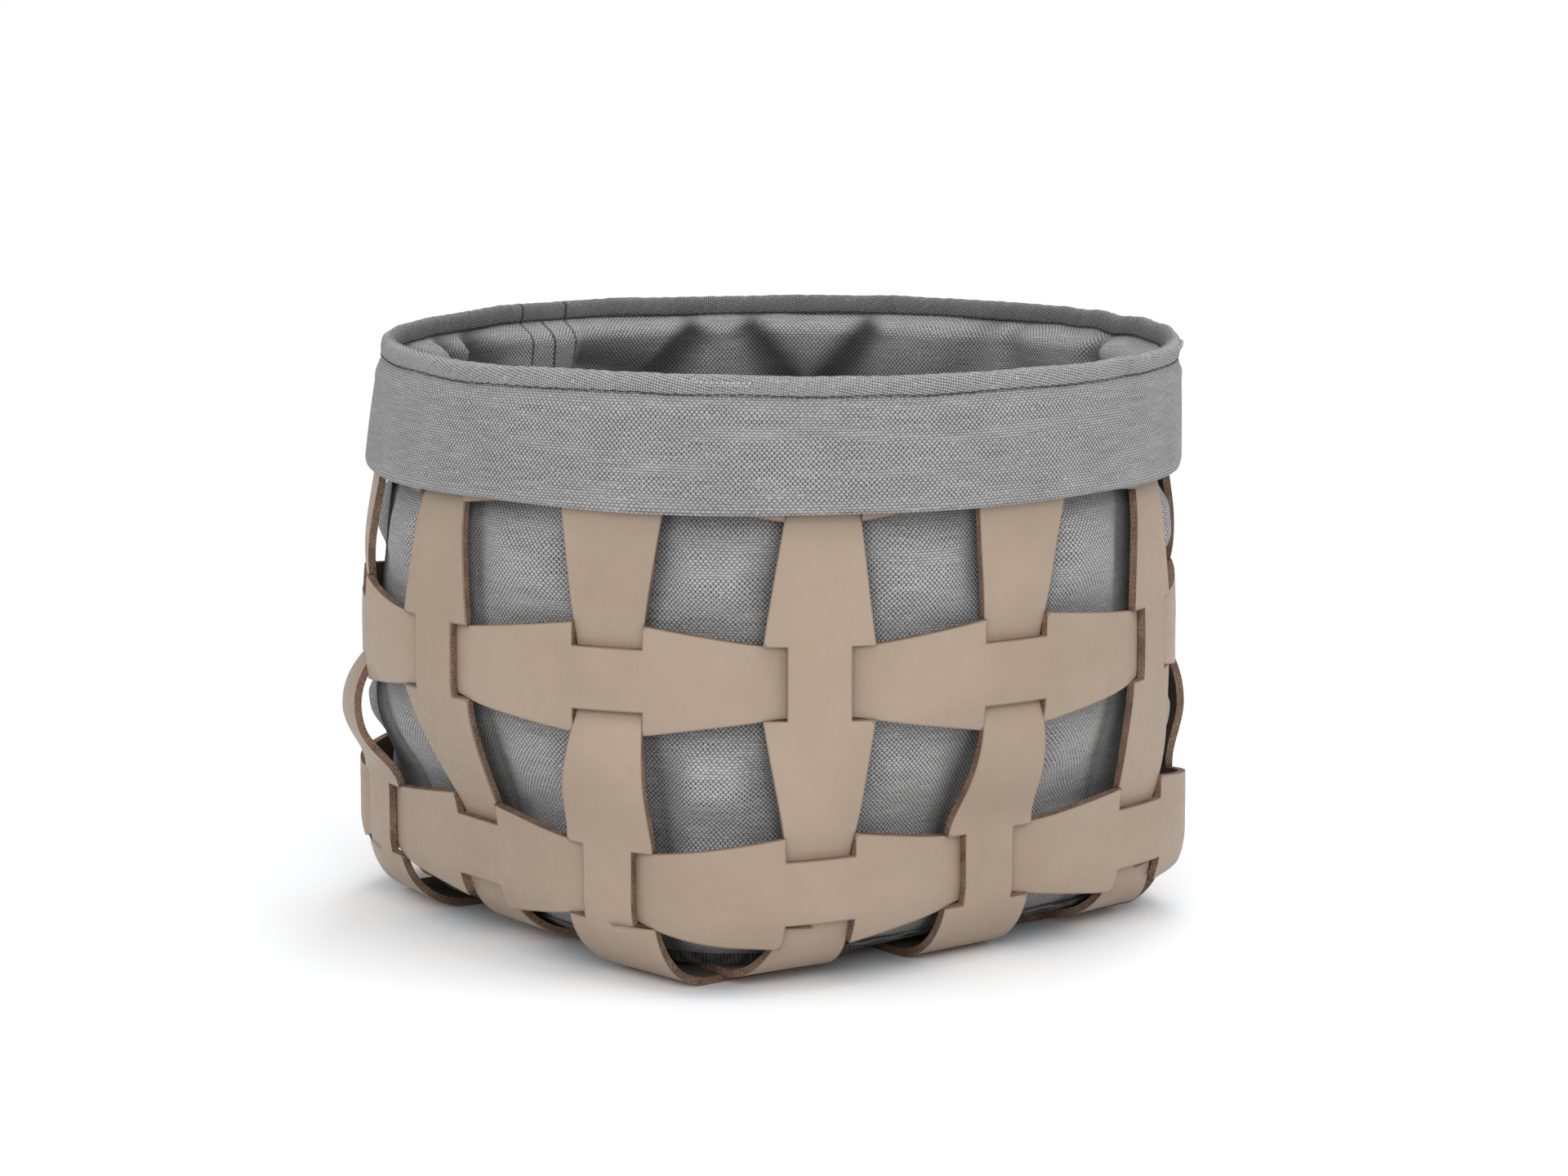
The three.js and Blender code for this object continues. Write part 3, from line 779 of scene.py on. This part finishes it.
def cloth_ring(name, angles, r, z, thick, material, painted_light_first, painted_light_second):
    """A closed ring of cloth from its middle line at each angle, r and z being angles by places.

    The painted light values say how bright painted shade leaves the cloth on the side that faces out where
    the line runs upwards, and on the other side, 1 where it lies open to the light.
    """
    nr, nz = section_normal(r, z)
    ends = thick * 0.42
    r0, z0 = r[:, :1] + nz[:, :1] * ends, z[:, :1] - nr[:, :1] * ends
    r1, z1 = r[:, -1:] - nz[:, -1:] * ends, z[:, -1:] + nr[:, -1:] * ends
    half = thick / 2
    loop_r = np.concatenate([r0, r + nr * half, r1, (r - nr * half)[:, ::-1]], 1)
    loop_z = np.concatenate([z0, z + nz * half, z1, (z - nz * half)[:, ::-1]], 1)
    run = np.pad(np.cumsum(np.hypot(np.diff(r), np.diff(z)), 1), ((0, 0), (1, 0)))
    points = ring_points(angles, loop_r, loop_z)
    count, m = loop_r.shape
    i, j = np.indices(loop_r.shape)
    k, l = (i + 1) % count, (j + 1) % m
    faces = np.stack([i * m + j, k * m + j, k * m + l, i * m + l], -1).reshape(-1, 4)
    obj = as_object(name, points.reshape(-1, 3), faces.tolist(), [material])
    for key, first, second in (("run", run.mean(0), run.mean(0)), ("painted_light", painted_light_first, painted_light_second)):
        first, second = np.broadcast_to(first, r.shape), np.broadcast_to(second, r.shape)
        loop = np.concatenate([first[:, :1], first, second[:, -1:], second[:, ::-1]], 1)
        set_attribute(obj, key, loop.ravel())
    return obj


def cloth_piece(obj, *nodes):
    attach(obj, "liner")
    if nodes:
        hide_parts(*nodes)
    return obj


def strap_gap(a):
    """0 behind an upright strap, rising to 1 in the middle between two."""
    away = from_middle(a)
    return smooth((np.minimum(away, np.abs(away - STRAP_ANGLE)) - 6.4) / 6)


def corner_gap(a):
    """1 in the middle of the wide gaps over the corners of the base."""
    return 1 - smooth((42 - from_middle(a)) / 8)


def band_gap(z):
    away = np.minimum(np.abs(z - Z_LOW), np.minimum(np.abs(z - Z_MIDDLE), np.abs(z - Z_TOP)))
    return smooth((away - 20) / 17)


# Folds of the liner wall, as valleys: angle and height of the low and the high end, depth,
# and the width of its flank on the side of larger and of smaller angles, in degrees and mm
FOLDS = [
    (75.3, 198, 65.8, 225, 5, 4.5, 11),
    (75, 200, 90, 209, 4, 6, 9),
    (48.9, 196, 59.2, 225, 4.6, 10, 4.5),
    (45.1, 196, 36.1, 225, 5, 4.5, 10),
    (21, 200, 13.5, 226, 1.6, 6, 9),
    (3.5, 198, 11.5, 224, 2, 8, 7),
    (119, 208, 122.5, 225, 4, 2.2, 9),
    (110.5, 204, 114.5, 225, 5, 2.6, 13),
    (136, 197, 129, 224, 3.2, 7, 9),
    (140, 196, 149, 224, 3.2, 9, 7),
    (166, 198, 158, 224, 4, 5, 10),
    (176, 197, 184, 224, 3.6, 8, 5),
    (203, 196, 194, 224, 4.6, 5, 11),
    (224, 196, 216, 224, 4, 5, 9),
    (228, 197, 237, 224, 4.4, 10, 5),
    (255, 198, 247, 224, 4, 5, 9),
    (264, 196, 272, 224, 4.2, 9, 5),
    (289, 197, 281, 224, 4, 5, 9),
    (312, 196, 303, 224, 4.6, 5, 10),
    (317, 197, 326, 224, 4.2, 9, 5),
    (343, 198, 351, 224, 3.8, 9, 5),
]


WALL_STRAPS = [(face, column) for face in range(4) for column in (-1, 0, 1)]
STRAP_ANGLES = np.array([face * 90 + column * STRAP_ANGLE for face, column in WALL_STRAPS])
UNDER_AT_TOP = np.array([(face + abs(column)) % 2 == 0 for face, column in WALL_STRAPS])


def painted_shade_beside(a, z):
    """How bright the cloth is in a window: painted shade, darker along the edges of straps and bands where
    the cloth lies in their crevices.
    """
    pitch = Z_TOP - Z_MIDDLE
    away = np.where(UNDER_AT_TOP, np.minimum(np.abs(z - Z_TOP), np.abs(z - Z_LOW)), np.abs(z - Z_MIDDLE))
    grown = np.clip((away - TONGUE_END) / (pitch - HALF_NOTCH - TONGUE_END), 0, 1)
    half = HALF_TONGUE + (HALF_WIDE - HALF_TONGUE) * grown
    aside = np.abs(turn_from(a, STRAP_ANGLES)) * DEG * WALL_RADIUS
    edge = np.max(hill((aside - half - 0.5) / 3.4), -1)
    away = np.min(np.abs(z - np.array([Z_LOW, Z_MIDDLE, Z_TOP])), -1)
    level = hill((away - 19) / 4)
    return 0.96 * (1 - np.maximum(0.42 * edge, 0.2 * level))


def folds(a, z):
    total = np.zeros(np.broadcast(a, z).shape)
    for low_angle, low, high_angle, high, depth, left, right in FOLDS:
        x, y = turn_from(a, low_angle) * DEG * LINER_MIDDLE, z - low
        ex, ey = (high_angle - low_angle) * DEG * LINER_MIDDLE, high - low
        size = math.hypot(ex, ey)
        along = (x * ex + y * ey) / size**2
        off = (x * ey - y * ex) / size
        off = off + 1.3 * np.sin(3.1 * along + low_angle)
        width = np.where(off > 0, left, right) * (1.7 - 0.8 * np.clip(along, 0, 1))
        ease = smooth((along + 0.7) / 0.8) * smooth((1.04 - along) / 0.22)
        total = np.maximum(total, 1.4 * depth * ease * hill(off / width))
    return total


def proud(z):
    """How far the wall stands inwards below the hem, where the folds cut into it."""
    return 6.0 * smooth((226.5 - z) / 9) * smooth((z - 172) / 24)


def pressed(a, z):
    """How far the soft wall follows a strap that bows well out: strap angle, height and reach in mm."""
    total = 0.0
    for degrees, height, reach in [(149.5, 80.0, 7.5), (-30.5, 80.0, 3.0)]:
        total = total + reach * hill(turn_from(a, degrees) / 15) * hill((z - height) / 22)
    return total


def liner_radius(a, z):
    foot = squircle(a, FOOT_HALF, FOOT_CORNER)
    rise = smooth((z - Z_LOW) / (Z_MIDDLE - Z_LOW))
    return foot + (LINER_MIDDLE + belly(a, z) - foot) * rise + pressed(a, z) * smooth((z - Z_LOW) / 14)


def seam_groove(a, width):
    """1 on the side seam's three lines."""
    x = turn_from(a, SEAM_ANGLE) * DEG * LINER_MIDDLE
    lines = hill(x / width)
    for side in (-SEAM_SIDE, SEAM_SIDE):
        lines = lines + 0.7 * hill((x - side) / width)
    return lines


def corner(a):
    """1 in the open corners of the base, between the outer straps of two faces."""
    return 1 - smooth((37 - from_middle(a)) / 6)


def lip_end(a):
    r0 = liner_radius(a, 0.0) - FOOT_BEND
    return r0, r0 + SEAM_REACH + SEAM_CORNER * (1 - middleness(a)) - 4.5 * corner(a)


def foot_angle(z):
    """How far round the foot's bend a height is reached."""
    return math.acos((FOOT_CENTRE - z) / FOOT_BEND)


def foot_arc(r0, start, end, count):
    """The section of the liner's foot from one angle of its bend to another."""
    g = np.linspace(start, end, count)[1:]
    return r0 + FOOT_BEND * np.sin(g), FOOT_CENTRE - FOOT_BEND * np.cos(g) + 0 * r0


def wall_line(a):
    """The liner wall's middle line, from the foot seam's lip to the top, for a column of angles."""
    lip_z = LIP_BASE + CLOTH + 0.3 + CLOTH / 2
    r0, lip = lip_end(a)
    lip = lip - 2.5 * corner(a)
    start = r0 + FOOT_BEND * math.sin(foot_angle(lip_z))
    lip_steps = np.linspace(0, 1, 5)
    lip_r = lip + (start - lip) * lip_steps
    lip_zz = lip_z + 0.35 * ripple(a, 0.0 * lip_steps, 11, 6, 20, 60, 50.0) * (1 - lip_steps)
    foot_r, foot_z = foot_arc(r0, foot_angle(lip_z), math.pi / 2, 12)
    z = np.concatenate([np.linspace(FOOT_CENTRE, 176, 76)[1:], np.linspace(176, 220, 45)[1:]]) + 0 * a
    wall_r = liner_radius(a, z)
    top_z = np.array([221.0, 222.0, 223.0, 224.0, 225.0, 225.8, 226.6, 228.0, 229.6, 231.5]) + 0 * a
    top_r = LINER_MIDDLE + 4.4 * smooth((top_z - 221.0) / 5.4)
    r = np.concatenate([lip_r, foot_r, wall_r, top_r], 1)
    z = np.concatenate([lip_zz, foot_z, z, top_z], 1)
    up = smooth((z - 34) / 20)
    soft = 0.5 * ripple(a, z, 21, 9, 3, 11, 130.0) + 0.25 * ripple(a, z, 22, 9, 12, 34, 70.0)
    full = 4.4 + 3.2 * corner_gap(a)
    bulge = full * strap_gap(a) * band_gap(z) * smooth((z - 52) / 12) - 1.0 * smooth((200 - z) / 20)
    sunk = proud(z) - np.minimum(folds(a, z), proud(z) + 0.3)
    soft = np.minimum(soft, 0.25) * smooth((225.5 - z) / 10)
    low = 5.0 * strap_gap(a) * smooth((z - 12) / 10) * (1 - smooth((z - 46) / 24))
    r = r + up * (bulge + soft) + low - sunk - 0.45 * seam_groove(a, 0.8) * smooth((z - 20) / 8)
    return r, z


CLOTH_WALL = weave_cloth("cloth_wall", around=960)
CLOTH_CUFF = weave_cloth("cloth_cuff", around=1020, streaks=0.85)
CLOTH_BASE = weave_cloth("cloth_base")
CLOTH_HEM = weave_cloth("cloth_hem", around=995, slant=35, scale=0.72)

angles = rings(0.55)
r, z = wall_line(angles)
# Painted shade on the wall: inside darker lower down, in the folds' valleys and on the seam's lines;
# outside beside straps and bands and towards the floor
lines = np.minimum(1.3 * seam_groove(angles, 0.55), 1) * smooth((z - 20) / 8)
valley = smooth(folds(angles, z) / 7.6) * smooth((z - 182) / 14)
painted_light_in = (0.46 + 0.36 * smooth((z - 190) / 34)) * (1 - 0.78 * valley) * (1 - 0.85 * lines)
painted_light_out = painted_shade_beside(angles[..., None], z[..., None]) * (1 - 0.3 * smooth((26 - z) / 14))
wall = cloth_ring("liner_wall_cloth", angles, r, z, CLOTH, CLOTH_WALL, painted_light_out, painted_light_in)
cloth_piece(wall, "liner_wall")
wall_angles, wall_r, wall_z = angles, r, z


def cuff_line(a):
    top_z = np.array([231.0, 229.0, 227.6, 226.6, 225.6, 224.4, 223.2, 222.0]) + 0 * a
    top_r = 159.7 + 1.9 * smooth((226.9 - top_z) / 5.2)
    z = np.linspace(CUFF_SHOULDER, CUFF_FOLD_FROM, 30) + 0 * a
    down = (CUFF_SHOULDER - z) / (CUFF_SHOULDER - CUFF_BOTTOM)
    flare = 0.25 + 3.5 * down**0.8
    soft = 0.5 * ripple(a, z, 31, 8, 2, 7, 200.0) + 0.22 * ripple(a, z, 32, 8, 9, 24, 90.0)
    r = 161.6 + flare + soft * (0.25 + 0.75 * down) + 0.45 * hill((z - 219.5) / 2.2)
    low = CUFF_BOTTOM + 0.7 + 0.55 * ripple(a, 0 * a, 33, 7, 2, 8, 200.0)
    last = r[:, -1:]
    g = np.linspace(0.12, math.pi, 9)
    fold = 1.0
    fold_r = last - fold + fold * np.cos(g)
    fold_z = low + fold - fold * np.sin(g) + (CUFF_FOLD_FROM - low - fold) * (1 - smooth(g / 0.9))
    up = np.array([0.12, 0.35, 0.65, 1.0])
    up_z = low + 1.0 + up * 9
    up_r = last - 2 * fold + 0 * up
    r = np.concatenate([top_r, r, fold_r, up_r], 1)
    z = np.concatenate([top_z, z, fold_z, up_z], 1)
    return r, z


angles = rings(0.5)
r, z = cuff_line(angles)
r = r - 0.4 * seam_groove(angles, 0.8) * smooth((z - 184) / 3)
# Painted shade on the cuff: a little darker outside, darker inside and on the seam's lines there
lines = np.minimum(seam_groove(angles, 0.42), 1)
cuff = cloth_ring("cuff_cloth", angles, r, z, CUFF_CLOTH, CLOTH_CUFF, 0.9, 0.84 * (1 - 0.7 * lines))
cloth_piece(cuff, "cuff")


# The hem's section, from its inner edge over the rim to its outer edge: radius and height
HEM_SECTION = np.array(
    [(156.7, 226.4), (156.25, 226.9), (155.95, 227.7), (155.75, 228.8), (155.75, 230.2), (155.95, 231.5)]
    + [(156.45, 232.6), (157.25, 233.3), (158.3, 233.55), (159.4, 233.3), (160.25, 232.6)]
    + [(160.75, 231.5), (160.95, 230.2), (160.95, 228.8), (160.7, 227.7), (160.35, 226.9), (159.9, 226.4)]
)


def hem_line(a):
    fine, given = np.linspace(0, len(HEM_SECTION) - 1, 41), np.arange(len(HEM_SECTION))
    r, z = (np.interp(fine, given, HEM_SECTION[:, k]) + 0 * a for k in range(2))
    free = np.sin(np.linspace(0, math.pi, 41))
    swell = 0.16 * ripple(a, 0 * r, 41, 10, 60, 190, 90.0) + 0.2 * ripple(a, 0 * r, 42, 8, 10, 40, 90.0)
    r = r + swell * free * np.clip(r - HEM_MIDDLE, -1, 1)
    z = z + swell * 0.6 * free
    return r, z


angles = rings(0.3)
r, z = hem_line(angles)
# Painted shade on the hem: darker on its inner face, on the seam's lines and in the crease at the stitch
# line, a little darker outside
inner = smooth((159.8 - r) / 2.4)
side = np.abs(turn_from(angles, SEAM_ANGLE)) * DEG * LINER_MIDDLE - SEAM_SIDE
lines = hill(side / 0.6) * inner
crease = smooth((227.6 - z) / 1.4)
painted_light_hem = (0.86 - 0.4 * inner) * (1 - 0.8 * lines) * (1 - 0.3 * crease)
hem = cloth_ring("rim_hem_cloth", angles, r, z, HEM_CLOTH, CLOTH_HEM, 0.9, painted_light_hem)
cloth_piece(hem, "rim_hem")


# Base panel
def base_mesh():
    """The bottom panel, with its edge turned outwards as the seam's allowance."""
    lip_z = LIP_BASE + CLOTH / 2
    angles = np.linspace(0, 2 * math.pi, 541)[:-1, None]
    r0, lip = lip_end(angles)
    flat_r = r0 * np.linspace(0, 1, 56)[1:]
    flat_z = np.full_like(flat_r, FOOT_CENTRE - FOOT_BEND)
    foot_r, foot_z = foot_arc(r0, 0, foot_angle(lip_z), 8)
    turned = corner(angles)
    steps = np.linspace(0, 1, 12)[1:]
    foot_end = foot_r[:, -1:]
    # Flat out beside the straps; in the open corners the seam's allowance dips and stands up
    flat_lip_r = foot_end + (lip - 1.5 - foot_end) * steps
    bend = smooth((steps - 0.35) / 0.3)
    up_r = foot_end + (lip - foot_end) * np.minimum(1, steps / 0.55) ** 0.8 + 0.5 * bend
    up_z = lip_z - 3.0 * np.sin(math.pi * np.minimum(1, steps / 0.7))
    up_z = up_z + 6.5 * np.maximum(0, steps - 0.45) / 0.55
    up_z = up_z + 0.35 * ripple(angles, 0 * steps, 12, 7, 30, 90, 50.0) * steps
    lip_r = flat_lip_r + (up_r - flat_lip_r) * turned
    lip_zz = lip_z + (up_z - lip_z) * turned
    r = np.concatenate([flat_r, foot_r, lip_r], 1)
    z = np.concatenate([flat_z, foot_z, lip_zz], 1)
    x, y = r * np.cos(angles), r * np.sin(angles)

    def between(v):
        away = np.min(np.abs(v[..., None] - np.array([-1, 0, 1]) * BASE_PITCH), -1)
        return smooth((away - 20) / 16)

    inside = smooth((r0 - r) / 12)
    z = z - 0.9 * between(x) * between(y) * inside
    z = z + 0.28 * ripple(angles, r, 61, 9, 1, 7, 90.0) * inside * between(x)
    nr, nz = section_normal(r, z)
    half = CLOTH / 2
    top = ring_points(angles, r - nr * half, z - nz * half)
    low = ring_points(angles, r + nr * half, z + nz * half)
    count, n = r.shape
    centre_z = FOOT_CENTRE - FOOT_BEND
    centres = [[0, 0, centre_z + half], [0, 0, centre_z - half]]
    points = np.concatenate([top.reshape(-1, 3), low.reshape(-1, 3), centres])
    faces = []
    shift = count * n
    for i in range(0, shift, n):
        k = (i + n) % shift
        for j in range(n - 1):
            quad = (i + j, i + j + 1, k + j + 1, k + j)
            faces += [quad, tuple(point + shift for point in quad[::-1])]
        a, b = i + n - 1, k + n - 1
        faces.append((a, a + shift, b + shift, b))
        faces += [(i, k, 2 * shift), (k + shift, i + shift, 2 * shift + 1)]
    obj = as_object("liner_base_cloth", points, faces, [CLOTH_BASE])
    reach = np.hypot(points[:, 0], points[:, 1])
    set_attribute(obj, "run", reach)
    # Painted shade: the base gets darker towards its turned edge under the wall's foot
    set_attribute(obj, "painted_light", 0.9 - 0.72 * smooth((reach - 108) / 16))
    return obj


base = cloth_piece(base_mesh(), "liner_base")


# Stitches
def stitches(name, paths, radius, material, sides=6, rings_each=5):
    """Short threads, one for each path, an array of points."""
    points, faces = [], []
    g = 2 * math.pi * np.arange(sides)[:, None] / sides
    for number, path in enumerate(paths):
        fine, given = np.linspace(0, 1, rings_each), np.linspace(0, 1, len(path))
        centre = np.stack([np.interp(fine, given, path[:, i]) for i in range(3)], -1)
        along = unit(np.gradient(centre, axis=0))
        side = unit(np.cross(along, np.array([0.31, 0.17, 0.93])))
        other = np.cross(along, side)
        swell = radius * np.sqrt(np.clip(1 - (2 * fine - 1) ** 4, 0.12, 1))[:, None, None]
        points.append(centre[:, None] + swell * (np.cos(g) * side[:, None] + np.sin(g) * other[:, None]))
        start, last = number * rings_each * sides, (rings_each - 1) * sides
        for i in range(start, start + last, sides):
            for k in range(sides):
                p, q = i + k, i + (k + 1) % sides
                faces.append((p, q, q + sides, p + sides))
        faces.append(tuple(start + k for k in range(sides))[::-1])
        faces.append(tuple(start + last + k for k in range(sides)))
    points = np.concatenate(points).reshape(-1, 3)
    return as_object(name, points, faces, [material])


def hem_stitches(name, radius, way):
    """The stitches round the hem, on its outside for way 1 and on its inside for way -1."""
    count = 330
    number = np.arange(count)[:, None]
    high = STITCH_Z + 0.22 * np.sin(0.37 * number) + 0.16 * np.sin(2.3 * number)
    out = np.array([-0.1, 0.12, 0.12, 0.12, -0.1])
    a = 2 * math.pi * (number + np.linspace(0, 1, 5)) / count
    return stitches(name, ring_points(a, radius + way * out, high), 0.22, THREAD)


outside = hem_stitches("rim_stitches_outside", 161.0, 1)
inside = hem_stitches("rim_stitches_inside", 155.65, -1)


def seam_stitches():
    """Two rows of stitches on the wall's inside, one to each side of the side seam."""
    paths = []
    for side in (-SEAM_SIDE, SEAM_SIDE):
        a = SEAM_ANGLE * DEG + side / LINER_MIDDLE
        near = np.abs(wall_angles - a).argmin()
        for low in np.arange(30.0, 219.0, 3.0):
            z = low + np.array([0.0, 0.72, 1.45, 2.18, 2.9])
            face = np.interp(z, wall_z[near, 16:], wall_r[near, 16:]) - CLOTH / 2
            paths.append(ring_points(a, face + np.array([0.25, 0.1, 0.1, 0.1, 0.25]), z))
    return stitches("side_seam_stitches", paths, 0.24, THREAD)


def frayed_edge():
    """Loose thread ends along the top of the foot seam's allowance, in the open corners."""
    rng = np.random.default_rng(71)
    paths = []
    for quarter in range(4):
        for degrees in np.arange(-8.5, 8.5, 0.36):
            a = (45 + 90 * quarter + degrees + rng.uniform(-0.2, 0.2)) * DEG
            _, lip = lip_end(a)
            r, z = float(lip) + 0.4 + rng.uniform(-0.3, 0.4), 12.2 + rng.uniform(-0.6, 0.3)
            slope, length = rng.uniform(-1.4, 1.4), rng.uniform(1.2, 3.0)
            f = np.array([0.0, 0.33, 0.67, 1.0])
            turn, rise = f * length * math.sin(slope) / r, f * length * math.cos(slope) * 0.6
            paths.append(ring_points(a + turn, r + 0.35 * np.sin(5 * f + degrees), z + rise))
    return stitches("foot_seam_frayed_edge", paths, 0.13, FRAY, sides=5, rings_each=4)


for piece in (outside, inside, seam_stitches(), frayed_edge()):
    cloth_piece(piece)

# Floor, light and camera
bpy.ops.mesh.primitive_plane_add(size=30)
floor = bpy.context.object
floor.name = "floor"

# The camera sees the floor go over into plain white away from the basket
FLOOR = 0.8
FLOOR_SEEN = (1.13, 1.15, 1.175)
WHITE_FROM, WHITE_TO = 0.22, 0.52
t = new_material("floor")
plain = t.node("BsdfDiffuse", (FLOOR,) * 3)
near = t.node("BsdfDiffuse", FLOOR_SEEN)
far = t.node("Emission", (1, 1, 1), 1.0)
place = t.split(t.place())
away = t.math("SQRT", t.math("ADD", t.math("POWER", place[0], 2.0), t.math("POWER", place[1], 2.0)))
shown = t.node("MixShader", t.span(away, WHITE_FROM, WHITE_TO), near.outputs[0], far.outputs[0])
t.show("Material Output", ["Camera", "Glossy", "Transmission"], plain, shown)
floor.data.materials.append(t.owner)

SKY = 0.45
scene = bpy.context.scene
scene.world = bpy.data.worlds.new("studio")
t = Tree(scene.world)
plain, white = (t.node("Background", (1, 1, 1), strength) for strength in (SKY, 1.0))
t.show("World Output", ["Camera", "Transmission"], plain, white)


def lamp(name, place, target, size, power):
    """A soft lamp that is turned towards its target."""
    data = bpy.data.lights.new(name, "AREA")
    data.shape = "RECTANGLE"
    data.size, data.size_y = size
    data.energy = power
    obj = bpy.data.objects.new(name, data)
    scene.collection.objects.link(obj)
    obj.location = place
    direction = np.array(target) - np.array(place)
    obj.rotation_mode = "QUATERNION"
    obj.rotation_quaternion = Vector(direction).to_track_quat("-Z", "Y")


lamp("key", (0.7, -1.45, 1.7), (0, 0, 0.1), (1.5, 1.5), 12.5)
lamp("front", (-1.35, -1.6, 1.1), (0, 0, 0.1), (1.8, 1.0), 14.2)
lamp("left", (-1.6, 0.2, 1.3), (0, 0, 0.1), (1.4, 1.4), 5)
lamp("back", (1.25, 0.95, 1.9), (0, 0, 0.05), (1.0, 1.0), 11)
lamp("top", (0.0, 0.0, 2.2), (0, 0, 0.1), (1.8, 1.8), 13.4)

# As fitted to the photo: where it stands, how far it looks down and turns, and its lens
CAMERA_PLACE = (-1.0170, -1.3346, 0.40896)
CAMERA_DOWN, CAMERA_TURN = 9.48, -37.31
CAMERA_LENS, CAMERA_SHIFT = 95.395, 0.00955
camera_data = bpy.data.cameras.new("camera")
camera = bpy.data.objects.new("camera", camera_data)
scene.collection.objects.link(camera)
camera.location = CAMERA_PLACE
camera.rotation_euler = ((90 - CAMERA_DOWN) * DEG, 0, CAMERA_TURN * DEG)
camera_data.sensor_width = 36
camera_data.lens = CAMERA_LENS
camera_data.shift_x = CAMERA_SHIFT
camera_data.clip_start, camera_data.clip_end = 0.05, 100
scene.camera = camera
scene.view_settings.view_transform = "Standard"
